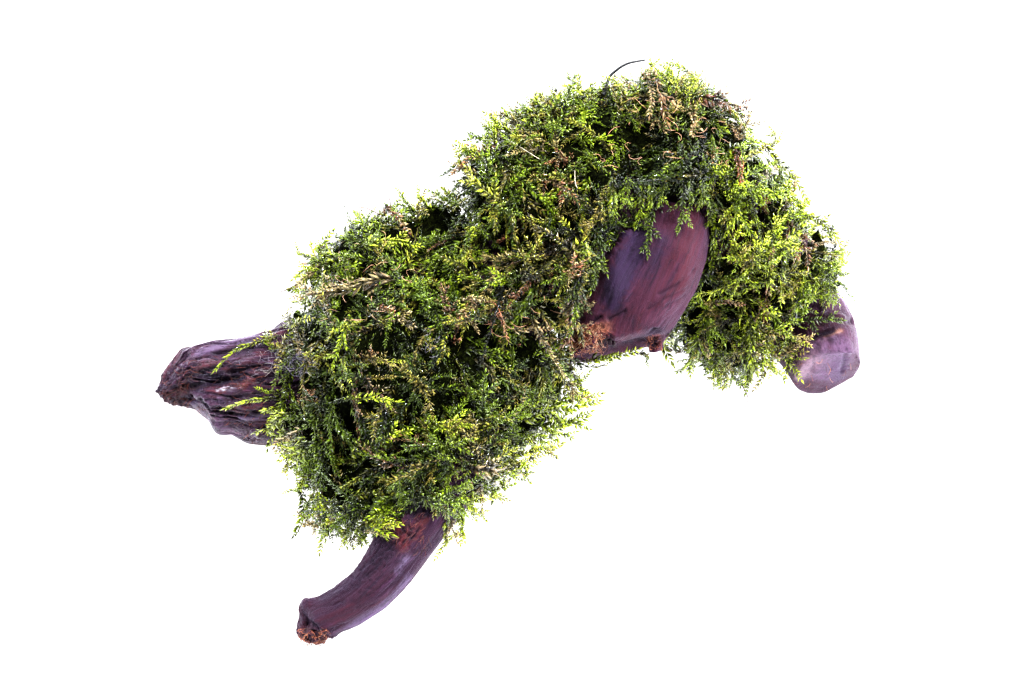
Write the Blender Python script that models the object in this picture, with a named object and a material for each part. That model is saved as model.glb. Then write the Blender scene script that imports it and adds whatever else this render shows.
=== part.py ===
"""Java moss grown over a forked piece of driftwood.

The wood is one branching piece, parted at its main forks into a trunk, two end limbs, a front
leg and a stub. The moss is three tufted pads, one for each stretch of wood that it covers.
Places are laid out in millimetres, X to the right, Y away from the viewer, Z up from the ground.
"""
import math
import random

import bmesh
import bpy
from mathutils import Matrix, Vector, noise

MM = 0.001

# Point of the layout that becomes the origin: the middle of the footprint, on the ground
FOOTPRINT_MIDDLE = Vector((-0.1, 61.2, 0.0))

# Space between pieces that touch
GAP = 0.3

# The room that moss leaves round the wood: a looser gap, and a swell over its furrows
MOSS_GAP = 0.4
ROOM_SWELL = 1.17
ROOM_STEP = 8.0
ROOM_SIDES = 14

# Rings of the wood lie this far apart along a limb, closer on a twig
RING_STEP = 4.0
TWIG_STEP = 2.5
MAIN_SIDES = 24
LEG_SIDES = 18
STUB_SIDES = 26
TWIG_SIDES = 12

# Depth of the lengthwise furrows as a share of the radius, and the length over which they fade
MAIN_FURROW = 0.06
BRANCH_FURROW = 0.05
FURROW_REACH = 22.0

# How far the torn first and last rings stray along the limb
MAIN_TEAR = (1.4, 1.8)
LEG_TEAR = (0.8, 0.0)

# Each run of wood starts its grain elsewhere
MAIN_GRAIN = 1.0
LEG_GRAIN = 2.0
STUB_GRAIN = 3.0
SPUR_GRAIN = 5.0
KNOB_GRAIN = 6.0

# Each run of wood is a list of stations: x, y, z of its middle, half its width, half its height
MAIN_RUN = (
    (-80.0, 63.0, 12.4, 1.6, 2.0),
    (-78.0, 64.4, 12.4, 4.2, 4.2),
    (-74.0, 67.0, 12.6, 7.0, 7.4),
    (-69.0, 67.0, 12.6, 8.8, 9.4),
    (-64.0, 66.0, 12.4, 10.4, 11.0),
    (-59.0, 65.0, 12.2, 12.4, 12.8),
    (-53.0, 65.4, 12.2, 13.4, 13.4),
    (-47.0, 67.4, 12.4, 14.6, 13.6),
    (-39.0, 69.4, 13.2, 14.6, 13.6),
    (-23.0, 69.6, 21.0, 13.8, 13.2),
    (-7.0, 71.4, 32.4, 13.0, 12.6),
    (9.0, 78.5, 41.6, 12.8, 12.2),
    (24.0, 86.6, 47.0, 12.8, 12.2),
    (37.0, 91.0, 46.8, 12.6, 12.2),
    (45.0, 92.0, 42.6, 12.6, 12.2),
    (52.5, 92.0, 34.2, 12.2, 12.0),
    (59.5, 91.6, 22.6, 11.6, 11.0),
    (65.0, 89.0, 12.6, 10.8, 11.4),
    (69.5, 83.6, 10.4, 10.0, 11.0),
    (72.0, 77.0, 9.8, 9.2, 10.4),
    (73.0, 72.0, 9.2, 8.2, 8.8),
)

# The forks where the main run is parted: a point, and the way towards the right end
LEFT_FORK = ((-44.0, 68.0, 12.6), (0.97, 0.2, 0.12))
RIGHT_FORK = ((45.0, 92.0, 42.6), (0.8, 0.0, -0.6))
LEG = (
    (-42.7, 2.8, 3.0, 2.6, 2.6),
    (-42.7, 4.6, 3.3, 3.7, 3.8),
    (-42.0, 6.4, 4.4, 5.0, 5.2),
    (-39.4, 7.4, 6.2, 4.6, 4.6),
    (-35.4, 8.6, 7.8, 4.9, 4.8),
    (-30.8, 11.4, 9.8, 5.4, 5.2),
    (-26.6, 15.8, 12.2, 6.0, 5.7),
    (-23.2, 20.4, 14.6, 6.4, 6.1),
    (-19.8, 25.2, 17.0, 6.8, 6.4),
    (-16.4, 29.6, 19.2, 7.1, 6.8),
    (-13.4, 34.6, 21.2, 7.3, 7.0),
    (-11.4, 41.0, 23.0, 7.5, 7.2),
    (-9.2, 49.5, 25.4, 7.8, 7.4),
    (-7.4, 58.5, 28.6, 8.2, 7.8),
    (-6.4, 66.5, 31.4, 7.6, 7.2),
)
STUB = (
    (20.2, 56.4, 26.6, 9.8, 4.6),
    (22.0, 60.6, 30.2, 10.4, 5.4),
    (23.2, 64.4, 33.4, 11.6, 6.2),
    (24.4, 67.6, 36.4, 12.8, 7.0),
    (26.3, 71.0, 39.6, 13.5, 7.8),
    (28.4, 74.4, 42.8, 13.6, 8.6),
    (30.2, 78.4, 46.0, 13.4, 9.6),
    (31.6, 83.0, 48.6, 12.6, 9.8),
    (32.6, 88.5, 49.0, 10.4, 8.6),
)
# The torn end of the stub: a point on it, and the way back into the wood
STUB_END = ((21.8, 61.2, 30.4), (-0.16, 0.94, 0.3))
STUB_SPUR = (
    (31.9, 60.9, 30.0, 1.9, 1.7),
    (31.4, 62.3, 31.5, 2.4, 2.2),
    (30.0, 65.4, 34.0, 3.2, 3.0),
    (28.8, 69.0, 37.0, 3.0, 2.8),
)
LEG_KNOB = (
    (-28.4, 31.0, 13.4, 1.4, 1.4),
    (-26.0, 31.0, 15.0, 2.2, 2.2),
    (-22.6, 30.6, 16.6, 2.8, 2.8),
)

# The plane where the left pad of moss meets the one on the crest: a point, and the way right
MOSS_SEAM = ((1.0, 75.0, 37.0), (0.81, 0.35, 0.46))

# Lobes of the moss: x, y, z of the middle, then half the width, depth and height
MOSS_LEFT_LOBES = (
    (-21.0, 64.0, 20.0, 28.0, 28.0, 28.0),
    (-38.0, 60.0, 14.0, 15.0, 22.0, 17.0),
    (-28.0, 83.0, 24.0, 18.0, 16.0, 22.0),
    (-14.0, 87.0, 31.0, 17.0, 14.0, 16.0),
    (-12.0, 50.0, 25.0, 15.0, 14.0, 14.0),
    (-1.0, 71.0, 35.0, 17.0, 17.0, 19.0),
    (6.0, 64.0, 22.0, 10.0, 10.0, 11.0),
    (-28.0, 43.0, 13.0, 18.0, 15.0, 12.0),
    (-10.0, 48.0, 14.0, 12.0, 13.0, 11.0),
    (-37.0, 43.0, 9.0, 9.0, 11.0, 8.0),
    (-17.0, 36.0, 21.0, 12.0, 9.0, 11.0),
)
MOSS_CREST_LOBES = (
    (5.0, 86.0, 45.0, 18.0, 20.0, 19.5),
    (18.0, 95.0, 52.0, 18.0, 20.0, 21.0),
    (33.0, 97.0, 52.0, 18.0, 21.0, 22.0),
    (45.0, 96.0, 46.0, 14.0, 18.0, 19.0),
    (4.0, 71.0, 42.0, 12.0, 13.0, 16.0),
    (13.5, 76.5, 50.5, 8.5, 9.0, 12.0),
)
MOSS_RIGHT_LOBES = (
    (50.0, 92.0, 36.0, 14.0, 18.0, 18.0),
    (57.0, 88.0, 25.0, 14.0, 16.0, 17.0),
    (50.0, 80.0, 20.0, 14.0, 11.0, 15.0),
    (63.0, 91.0, 24.0, 10.0, 11.0, 13.0),
    (48.0, 76.0, 14.0, 11.0, 8.0, 9.0),
)

# Tufts stand on the lobes: how long, how wide at the root, and how far they hang over
TUFT_LENGTH = 7.6
TUFT_WIDTH = 4.4
TUFT_SIZES = (0.7, 1.3)
TUFT_DROOP = 0.45
TUFT_TAPER = 0.75
TUFT_LEAN = 0.35
TUFT_SUNK = 0.6

# No tuft stands lower than this, or on a side that faces down more than this
TUFT_LOWEST = 6.0
TUFT_UNDERSIDE = -0.3

# Grain of the melted moss, the height of its underside, and tufts, seed and faces of each pad
MOSS_VOXEL = 1.0
MOSS_UNDERSIDE = 1.5
LEFT_TUFTS = (110, 11, 2330)
CREST_TUFTS = (66, 12, 1440)
RIGHT_TUFTS = (46, 13, 1000)

WOOD_COLOUR = (0.095, 0.035, 0.045, 1.0)
WOOD_ROUGHNESS = 0.42
MOSS_COLOUR = (0.09, 0.17, 0.02, 1.0)
MOSS_ROUGHNESS = 0.55
CREASE = math.radians(50)


def clear_scene():
    for thing in list(bpy.data.objects):
        bpy.data.objects.remove(thing, do_unlink=True)


def material(name, colour, roughness):
    made = bpy.data.materials.new(name)
    made.use_nodes = True
    shader = made.node_tree.nodes["Principled BSDF"]
    shader.inputs["Base Color"].default_value = colour
    shader.inputs["Roughness"].default_value = roughness
    shader.inputs["Metallic"].default_value = 0.0
    made.diffuse_color = colour
    return made


def spline_value(before, start, end, after, share):
    """Catmull-Rom value between start and end."""
    linear = (end - before) * share
    square = (2 * before - 5 * start + 4 * end - after) * share**2
    cube = (3 * start - before - 3 * end + after) * share**3
    return 0.5 * (2 * start + linear + square + cube)


def rings_along(stations, step):
    """Evenly spaced rings, each as (middle, half width, half height), on a smooth curve."""
    first, last = stations[0], stations[-1]
    lead_in = tuple(2 * a - b for a, b in zip(first, stations[1]))
    lead_out = tuple(2 * a - b for a, b in zip(last, stations[-2]))
    points = (lead_in, *stations, lead_out)
    rings = []
    for index in range(1, len(points) - 2):
        span = (Vector(points[index + 1][:3]) - Vector(points[index][:3])).length
        pieces = max(1, round(span / step))
        for piece in range(pieces):
            share = piece / pieces
            rings.append([spline_value(*values, share) for values in zip(*points[index - 1:index + 3])])
    rings.append(list(last))
    return rings


def wood_radius(angle, along, furrow, seed):
    """Share of a ring's radius: lengthwise furrows, deeper near the torn end, and swellings."""
    furrow = furrow * (1 + 0.9 * math.exp(-along / FURROW_REACH))
    drift = 0.5 * math.sin(along * 0.06 + seed)
    waves = math.cos(5 * angle + drift + seed) + 0.7 * math.cos(9 * angle - 2 * drift + 2 * seed)
    swelling = noise.noise(Vector((2 * math.cos(angle), 2 * math.sin(angle), along * 0.09 + seed)))
    return 1 + furrow * (0.5 * waves + 1.4 * swelling)


def limb_mesh(stations, sides, furrow, seed, step=RING_STEP, grow=0.0, swell=1.0, ragged=(0, 0)):
    """A grid rolled into a tube round the stations, with both ends closed and the ground flat."""
    rings = rings_along(stations, step)
    last_ring = len(rings) - 1
    bm = bmesh.new()
    bmesh.ops.create_grid(bm, x_segments=last_ring, y_segments=sides, size=0.5)
    along = [0.0]
    for here, there in zip(rings, rings[1:]):
        along.append(along[-1] + (Vector(there[:3]) - Vector(here[:3])).length)
    for vert in bm.verts:
        index = round((vert.co.x + 0.5) * last_ring)
        angle = 2 * math.pi * round((vert.co.y + 0.5) * sides) / sides
        middle = Vector(rings[index][:3])
        ahead = Vector(rings[min(index + 1, last_ring)][:3])
        behind = Vector(rings[max(index - 1, 0)][:3])
        tangent = (ahead - behind).normalized()
        side = tangent.cross(Vector((0, 0, 1))).normalized()
        up = side.cross(tangent)
        share = wood_radius(angle, along[index], furrow, seed) * swell
        width = rings[index][3] * share + grow
        height = rings[index][4] * share + grow
        shift = tangent * grow * ((index == last_ring) - (index == 0))
        tear = ragged[0] * (index == 0) + ragged[1] * (index == last_ring)
        shift += tangent * tear * noise.noise(Vector((3 * math.cos(angle), 3 * math.sin(angle), seed)))
        vert.co = middle + side * math.cos(angle) * width + up * math.sin(angle) * height + shift
    bmesh.ops.remove_doubles(bm, verts=bm.verts, dist=1e-4)
    bmesh.ops.holes_fill(bm, edges=[edge for edge in bm.edges if edge.is_boundary])
    if not grow:
        cut_flat(bm, Vector((0, 0, 0)), Vector((0, 0, 1)))
    bmesh.ops.recalc_face_normals(bm, faces=bm.faces)
    return bm


def cut_flat(bm, point, keep_side):
    """Cut off what lies behind the plane and close the cut."""
    everything = list(bm.verts) + list(bm.edges) + list(bm.faces)
    bmesh.ops.bisect_plane(
        bm, geom=everything, dist=1e-5, plane_co=point, plane_no=keep_side, clear_inner=True
    )
    bmesh.ops.holes_fill(bm, edges=[edge for edge in bm.edges if edge.is_boundary])


def scene_object(name, mesh):
    made = bpy.data.objects.new(name, mesh)
    bpy.context.scene.collection.objects.link(made)
    return made


def object_from(bm, name, finish=None):
    """Move a bmesh from the layout in millimetres to metres round the origin."""
    bmesh.ops.translate(bm, verts=bm.verts, vec=-FOOTPRINT_MIDDLE)
    bmesh.ops.scale(bm, verts=bm.verts, vec=(MM, MM, MM))
    made = scene_object(name, bpy.data.meshes.new(name))
    bm.to_mesh(made.data)
    bm.free()
    if finish:
        made.data.materials.append(finish)
    return made


def helper_from(bm, name):
    made = object_from(bm, name)
    made.hide_render = True
    made.display_type = "WIRE"
    return made


def cut_with(target, cutter, operation="DIFFERENCE"):
    modifier = target.modifiers.new(cutter.name, "BOOLEAN")
    modifier.operation = operation
    modifier.solver = "EXACT"
    modifier.object = cutter


def smooth(mesh):
    mesh.shade_smooth()
    mesh.set_sharp_from_angle(angle=CREASE)


def side_of(plane, way):
    """A plane moved half a gap to one side: way is 1 for the side its direction points to."""
    direction = Vector(plane[1]).normalized() * way
    return Vector(plane[0]) + direction * GAP / 2, direction


def main_stretch(name, cuts, finish):
    """The part of the main run that the cuts leave."""
    bm = limb_mesh(MAIN_RUN, MAIN_SIDES, MAIN_FURROW, MAIN_GRAIN, ragged=MAIN_TEAR)
    for point, keep_side in cuts:
        cut_flat(bm, point, keep_side)
    return object_from(bm, name, finish)


def twig(name, stations, grain):
    return helper_from(limb_mesh(stations, TWIG_SIDES, BRANCH_FURROW, grain, step=TWIG_STEP), name)


def build_wood(finish):
    """The five stretches of wood, with a gap at each fork."""
    left = main_stretch("left_limb", (side_of(LEFT_FORK, -1),), finish)
    trunk = main_stretch("trunk", (side_of(LEFT_FORK, 1), side_of(RIGHT_FORK, -1)), finish)
    right = main_stretch("right_limb", (side_of(RIGHT_FORK, 1),), finish)

    leg_mesh = limb_mesh(LEG, LEG_SIDES, BRANCH_FURROW, LEG_GRAIN, ragged=LEG_TEAR)
    leg = object_from(leg_mesh, "front_leg", finish)
    cut_with(leg, twig("knob_on_leg", LEG_KNOB, KNOB_GRAIN), "UNION")

    stub_mesh = limb_mesh(STUB, STUB_SIDES, BRANCH_FURROW, STUB_GRAIN)
    cut_flat(stub_mesh, Vector(STUB_END[0]), Vector(STUB_END[1]).normalized())
    stub = object_from(stub_mesh, "stub", finish)
    cut_with(stub, twig("spur_on_stub", STUB_SPUR, SPUR_GRAIN), "UNION")

    room = limb_mesh(MAIN_RUN, MAIN_SIDES, MAIN_FURROW, MAIN_GRAIN, grow=GAP)
    main_room = helper_from(room, "room_for_main_run")
    for branch in (leg, stub):
        cut_with(branch, main_room)
    for stretch in (left, trunk, right, leg, stub):
        smooth(stretch.data)


def moss_rooms():
    """Coarse clearances for the wood that runs through the moss."""
    runs = {"main": MAIN_RUN, "leg": LEG, "knob": LEG_KNOB, "stub": STUB, "spur": STUB_SPUR}
    rooms = []
    for name, stations in runs.items():
        room = limb_mesh(
            stations, ROOM_SIDES, 0.0, 0.0, step=ROOM_STEP, grow=MOSS_GAP, swell=ROOM_SWELL
        )
        rooms.append(helper_from(room, f"moss_room_{name}"))
    return rooms


def add_lobe(bm, lobe):
    place = Matrix.Translation(lobe[:3]) @ Matrix.Diagonal((*lobe[3:], 1.0))
    bmesh.ops.create_icosphere(bm, subdivisions=3, radius=1.0, matrix=place)


def inside_lobes(point, lobes):
    return any(
        sum(((point[axis] - lobe[axis]) / lobe[axis + 3]) ** 2 for axis in range(3)) < 0.98
        for lobe in lobes
    )


def add_tuft(bm, root, outward, length, width):
    """A lock of moss: a round lobe drawn out to a blunt point that hangs over."""
    turn = outward.to_track_quat("Z", "Y").to_matrix().to_4x4()
    made = bmesh.ops.create_icosphere(bm, subdivisions=2, radius=1.0)["verts"]
    for vert in made:
        height = max(0.0, vert.co.z)
        vert.co.x *= width * (1 - TUFT_TAPER * height)
        vert.co.y *= width * (1 - TUFT_TAPER * height)
        vert.co.z *= length if vert.co.z > 0 else width
    bmesh.ops.transform(bm, matrix=Matrix.Translation(root) @ turn, verts=made)
    for vert in made:
        out = max(0.0, (vert.co - root).dot(outward)) / length
        vert.co.z -= TUFT_DROOP * length * out**2


def moss_mesh(lobes, tufts, seed):
    """Lobes joined by tufts spread over their outer sides."""
    bm = bmesh.new()
    for lobe in lobes:
        add_lobe(bm, lobe)
    draw = random.Random(seed)
    shares = [(lobe[3] * lobe[4] * lobe[5]) ** (2 / 3) for lobe in lobes]
    placed = []
    while len(placed) < tufts:
        lobe = draw.choices(lobes, shares)[0]
        way = Vector([draw.gauss(0, 1) for _ in range(3)]).normalized()
        root = Vector([lobe[axis] + way[axis] * lobe[axis + 3] for axis in range(3)])
        outward = Vector([way[axis] / lobe[axis + 3] for axis in range(3)]).normalized()
        others = [other for other in lobes if other is not lobe]
        if inside_lobes(root, others) or root.z < TUFT_LOWEST or outward.z < TUFT_UNDERSIDE:
            continue
        if any((root - other).length < TUFT_WIDTH for other in placed):
            continue
        placed.append(root)
        size = draw.uniform(*TUFT_SIZES)
        lean = (outward + Vector([draw.gauss(0, TUFT_LEAN) for _ in range(3)])).normalized()
        sunk = root - lean * TUFT_WIDTH * TUFT_SUNK
        add_tuft(bm, sunk, lean, TUFT_LENGTH * size, TUFT_WIDTH * size)
    return bm


def settled(thing):
    """The mesh of an object with its modifiers applied. The object itself is removed."""
    graph = bpy.context.evaluated_depsgraph_get()
    mesh = bpy.data.meshes.new_from_object(thing.evaluated_get(graph))
    bpy.data.objects.remove(thing, do_unlink=True)
    return mesh


def keep_largest(bm):
    """Drop the crumbs that a cut leaves beside the main body."""
    left = set(bm.verts)
    islands = []
    while left:
        island = set()
        edge_of_island = [left.pop()]
        while edge_of_island:
            vert = edge_of_island.pop()
            island.add(vert)
            near = {edge.other_vert(vert) for edge in vert.link_edges} & left
            left -= near
            edge_of_island.extend(near)
        islands.append(island)
    islands.sort(key=len)
    for island in islands[:-1]:
        bmesh.ops.delete(bm, geom=list(island), context="VERTS")


def melted(name, lobes, tufts, seed, faces):
    """Lobes and tufts melted into one skin, then thinned to about this many triangles."""
    rough = helper_from(moss_mesh(lobes, tufts, seed), f"{name}_rough")
    remesh = rough.modifiers.new("melt", "REMESH")
    remesh.mode = "VOXEL"
    remesh.voxel_size = MOSS_VOXEL * MM
    skin = settled(rough)
    triangles = sum(len(face.vertices) - 2 for face in skin.polygons)
    dense = scene_object(f"{name}_dense", skin)
    dense.modifiers.new("thin", "DECIMATE").ratio = faces / triangles
    return settled(dense)


def moss_pad(name, lobes, tufts, cuts, rooms, finish):
    """One pad, cut at its seams and cleared round the wood. tufts gives count, seed and faces."""
    bm = bmesh.new()
    bm.from_mesh(melted(name, lobes, *tufts))
    for point, keep_side in cuts:
        cut_flat(bm, (point - FOOTPRINT_MIDDLE) * MM, keep_side)
    uncleared = scene_object(f"{name}_uncleared", bpy.data.meshes.new(name))
    bm.to_mesh(uncleared.data)
    bm.free()
    for room in rooms:
        cut_with(uncleared, room)

    bm = bmesh.new()
    bm.from_mesh(settled(uncleared))
    keep_largest(bm)
    pad = scene_object(name, bpy.data.meshes.new(name))
    bm.to_mesh(pad.data)
    bm.free()
    pad.data.materials.append(finish)
    smooth(pad.data)


def build_moss(finish):
    """The three pads, each standing clear of the ground and of the next."""
    rooms = moss_rooms()
    floor = (Vector((0, 0, MOSS_UNDERSIDE)), Vector((0, 0, 1)))
    left_cuts = (floor, side_of(MOSS_SEAM, -1))
    crest_cuts = (side_of(MOSS_SEAM, 1), side_of(RIGHT_FORK, -1))
    right_cuts = (floor, side_of(RIGHT_FORK, 1))
    moss_pad("moss_on_left", MOSS_LEFT_LOBES, LEFT_TUFTS, left_cuts, rooms, finish)
    moss_pad("moss_on_crest", MOSS_CREST_LOBES, CREST_TUFTS, crest_cuts, rooms, finish)
    moss_pad("moss_on_right", MOSS_RIGHT_LOBES, RIGHT_TUFTS, right_cuts, rooms, finish)


clear_scene()
build_wood(material("wet_driftwood", WOOD_COLOUR, WOOD_ROUGHNESS))
build_moss(material("java_moss", MOSS_COLOUR, MOSS_ROUGHNESS))
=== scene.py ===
# %% [markdown]
# # Java moss on driftwood
# The real thing is a forked piece of wet driftwood with a thick mat of java moss grown over its
# arched middle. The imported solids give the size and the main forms. This file gives them their
# looks: furrowed wet wood, and moss made of hundreds of small leafy fronds. It starts by loading
# the solids, which stay where they are. Lengths below are in millimetres until a mesh is made.

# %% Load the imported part
import math
import random

import bmesh
import bpy
import numpy as np
from mathutils import Matrix, Vector, noise
from mathutils.bvhtree import BVHTree


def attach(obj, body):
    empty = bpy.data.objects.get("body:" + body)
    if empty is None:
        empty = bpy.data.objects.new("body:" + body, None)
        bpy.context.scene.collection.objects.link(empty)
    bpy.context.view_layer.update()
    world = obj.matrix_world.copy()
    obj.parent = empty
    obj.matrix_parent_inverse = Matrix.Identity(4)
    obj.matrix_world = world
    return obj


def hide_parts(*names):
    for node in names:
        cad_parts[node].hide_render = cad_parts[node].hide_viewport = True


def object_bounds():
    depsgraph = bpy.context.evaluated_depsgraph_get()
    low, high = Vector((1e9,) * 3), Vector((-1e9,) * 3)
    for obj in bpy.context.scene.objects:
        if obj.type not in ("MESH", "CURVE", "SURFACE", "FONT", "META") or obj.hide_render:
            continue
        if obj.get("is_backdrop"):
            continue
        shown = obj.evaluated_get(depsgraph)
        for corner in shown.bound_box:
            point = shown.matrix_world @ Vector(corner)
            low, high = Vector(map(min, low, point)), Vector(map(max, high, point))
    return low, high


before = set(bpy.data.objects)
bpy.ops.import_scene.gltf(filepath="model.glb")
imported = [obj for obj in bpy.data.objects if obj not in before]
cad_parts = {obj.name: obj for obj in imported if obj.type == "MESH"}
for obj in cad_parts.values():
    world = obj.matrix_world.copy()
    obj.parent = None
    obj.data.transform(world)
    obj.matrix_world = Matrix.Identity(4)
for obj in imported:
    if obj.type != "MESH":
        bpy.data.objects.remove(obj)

MM = 0.001
solid_box = [list(corner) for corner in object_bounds()]
print("solid box in mm:", [[round(value / MM, 1) for value in corner] for corner in solid_box])

# %% [markdown]
# ## The camera
# The picture looks down on the piece from the front, about fifty degrees above the ground, with
# a long lens that keeps far things nearly as large as near ones. A long lens far away gives
# that calm, flat look. The camera comes first, because some sprigs are laid where it sees them.

# %% Set up the camera
EYE = Vector((0.1, -342.6, 441.7))
AIM = Vector((0.1, 7.1, 25.0))
LENS = 85.0
SENSOR = 36.0
PICTURE = (1024, 682)

lens = bpy.data.cameras.new("camera")
lens.lens = LENS
lens.sensor_width = SENSOR
lens.clip_start = 0.01
camera = bpy.data.objects.new("camera", lens)
camera.location = EYE * MM
camera.rotation_euler = (AIM - EYE).to_track_quat("-Z", "Y").to_euler()
bpy.context.scene.collection.objects.link(camera)
bpy.context.scene.camera = camera
print("camera stands", round((EYE - AIM).length), "mm away")

# %% [markdown]
# ## Finding places on the piece
# Two searches are used again and again: the nearest point of the wood, so that a frond can be
# held off it, and the point that the camera sees at a place in the picture. A BVH tree, which
# sorts triangles into nested boxes, answers both at once even for many thousand points.

# %% Trees of triangles
WOOD = ("left_limb", "trunk", "right_limb", "front_leg", "stub")
MOSS = ("moss_on_left", "moss_on_crest", "moss_on_right")


def tree_of(nodes):
    """A search tree over the solids with these names, in millimetres."""
    points = []
    faces = []
    for node in nodes:
        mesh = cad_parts[node].data
        first = len(points)
        points += [vert.co / MM for vert in mesh.vertices]
        faces += [[first + index for index in face.vertices] for face in mesh.polygons]
    return BVHTree.FromPolygons(points, faces)


wood_tree = tree_of(WOOD)
stub_tree = tree_of(["stub"])
whole_tree = tree_of(WOOD + MOSS)


def sight_line(px, py):
    """The way from the camera through a point of the picture."""
    scale = SENSOR / LENS / PICTURE[0]
    across = (px - PICTURE[0] / 2) * scale
    up = (PICTURE[1] / 2 - py) * scale
    return (camera.rotation_euler.to_matrix() @ Vector((across, up, -1))).normalized()


def picture_of(point):
    """Where a point lies in the picture."""
    across, up, away = camera.rotation_euler.to_matrix().transposed() @ (Vector(point) - EYE)
    scale = SENSOR / LENS / PICTURE[0] * -away
    return PICTURE[0] / 2 + across / scale, PICTURE[1] / 2 - up / scale


def path_over(places, lifts, tree=whole_tree):
    """Points seen at places of the picture, each lifted off what is there. A place beside the
    piece is taken as far from the eye as the place before it."""
    depth = (EYE - AIM).length
    points = []
    for (px, py), lift in zip(places, lifts):
        way = sight_line(px, py)
        place, normal, _, _ = tree.ray_cast(EYE, way)
        if place is None:
            place = EYE + way * depth
        else:
            place = place + normal * lift
            depth = (place - EYE).length
        points.append(place[:])
    return np.array(points)


def on_wood(*places):
    """Points of the wood seen at places of the picture, or the nearest to them."""
    points = path_over(places, [0] * len(places), wood_tree)
    return np.array([wood_tree.find_nearest(Vector(point))[0][:] for point in points])


print("the middle of the picture shows", path_over([(512, 341)], [0])[0].round(1))

# %% [markdown]
# ## Arrays in, mesh out
# Moss has far too many leaves to place one object each. Each small shape is made once with
# bmesh operators, turned into arrays of points and triangles, and repeated with numpy. One
# function then makes a mesh of the joined arrays. It can carry a UV map, which the moss uses as
# a chart of colours.

# %% From bmesh to arrays and back
def arrays_of(bm):
    """The points and outward triangles of a bmesh."""
    bmesh.ops.recalc_face_normals(bm, faces=bm.faces)
    bmesh.ops.triangulate(bm, faces=bm.faces)
    bm.verts.index_update()
    points = np.array([vert.co[:] for vert in bm.verts])
    triangles = np.array([[vert.index for vert in face.verts] for face in bm.faces])
    bm.free()
    return points, triangles


def piece_from(name, points, triangles, finish, chart=None):
    """A piece of the object from arrays in millimetres, riding on the root."""
    mesh = bpy.data.meshes.new(name)
    mesh.vertices.add(len(points))
    mesh.vertices.foreach_set("co", (points * MM).astype(np.float32).ravel())
    mesh.loops.add(triangles.size)
    mesh.loops.foreach_set("vertex_index", triangles.astype(np.int32).ravel())
    mesh.polygons.add(len(triangles))
    mesh.polygons.foreach_set("loop_start", np.arange(0, triangles.size, 3, dtype=np.int32))
    mesh.polygons.foreach_set("loop_total", np.full(len(triangles), 3, dtype=np.int32))
    if chart is not None:
        layer = mesh.uv_layers.new(name="OFBake")
        layer.data.foreach_set("uv", chart[triangles.ravel()].astype(np.float32).ravel())
    mesh.update(calc_edges=True)
    mesh.validate()
    mesh.materials.append(finish)
    piece = bpy.data.objects.new(name, mesh)
    bpy.context.scene.collection.objects.link(piece)
    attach(piece, "root")
    print(f"{name}: {len(triangles)} triangles")
    return piece


# %% [markdown]
# ## Nodes for the finishes
# A finish is a small web of shader nodes. These helpers add a node, fill its sockets and link
# it, so that each finish below reads as a short recipe. Values that are the same all over a
# surface, such as its coat, are set on the shader itself.

# %% Helpers for shader nodes
def new_finish(name, **sockets):
    """A material with its tree and its main shader."""
    made = bpy.data.materials.new(name)
    made.use_nodes = True
    shader = made.node_tree.nodes["Principled BSDF"]
    for socket, value in sockets.items():
        shader.inputs[socket.replace("_", " ")].default_value = value
    return made, made.node_tree, shader


def node_of(tree, kind, links=None, **settings):
    """A node with its settings made and its inputs linked or set."""
    made = tree.nodes.new(kind)
    for setting, value in settings.items():
        setattr(made, setting, value)
    for socket, value in (links or {}).items():
        if isinstance(value, bpy.types.NodeSocket):
            tree.links.new(value, made.inputs[socket])
        else:
            made.inputs[socket].default_value = value
    return made


def ramp_of(tree, source, stops, interpolation="LINEAR"):
    """A colour ramp: each stop a place from 0 to 1 and a colour or a grey."""
    made = node_of(tree, "ShaderNodeValToRGB", {"Fac": source})
    made.color_ramp.interpolation = interpolation
    elements = made.color_ramp.elements
    while len(elements) < len(stops):
        elements.new(0.5)
    for element, (place, colour) in zip(elements, stops):
        element.position = place
        element.color = (*colour, 1.0) if isinstance(colour, tuple) else (colour,) * 3 + (1.0,)
    return made.outputs["Color"]


def blend_of(tree, share, first, second, mode="MIX"):
    """One colour over another, by a share."""
    made = node_of(tree, "ShaderNodeMix", data_type="RGBA", blend_type=mode)
    for socket, value in ((0, share), (6, first), (7, second)):
        if isinstance(value, bpy.types.NodeSocket):
            tree.links.new(value, made.inputs[socket])
        else:
            made.inputs[socket].default_value = value
    return made.outputs[2]


# %% [markdown]
# ## Straightening a limb
# Grain, furrows and cracks in wood run along each limb, and the limbs bend. So each limb has a
# centre line, and every point of its skin is given the distance along that line and the
# offset from it. In these straightened coordinates a lengthwise furrow is only a pattern that
# changes slowly in the first number. They are also stored on the mesh for the finish.

# %% Centre lines and straightened coordinates
MAIN_LINE = (
    (-79.9, 1.8, 12.4), (-73.9, 5.8, 12.6), (-63.9, 4.8, 12.4), (-52.9, 4.2, 12.2),
    (-38.9, 8.2, 13.2), (-22.9, 8.4, 21.0), (-6.9, 10.2, 32.4), (9.1, 17.3, 41.6),
    (24.1, 25.4, 47.0), (37.1, 29.8, 46.8), (45.1, 30.8, 42.6), (52.6, 30.8, 34.2),
    (59.6, 30.4, 22.6), (65.1, 27.8, 12.6), (69.6, 22.4, 10.4), (73.1, 10.8, 9.2),
)
LEG_LINE = (
    (-42.6, -58.4, 3.0), (-41.9, -54.8, 4.4), (-35.3, -52.6, 7.8), (-26.5, -45.4, 12.2),
    (-19.7, -36.0, 17.0), (-13.3, -26.6, 21.2), (-11.3, -20.2, 23.0), (-9.1, -11.7, 25.4),
    (-6.3, 5.3, 31.4),
)
STUB_LINE = (
    (20.3, -4.8, 26.6), (23.7, 3.2, 33.4), (28.0, 9.8, 39.6), (31.9, 17.2, 46.0),
    (33.7, 27.3, 49.0),
)


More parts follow.
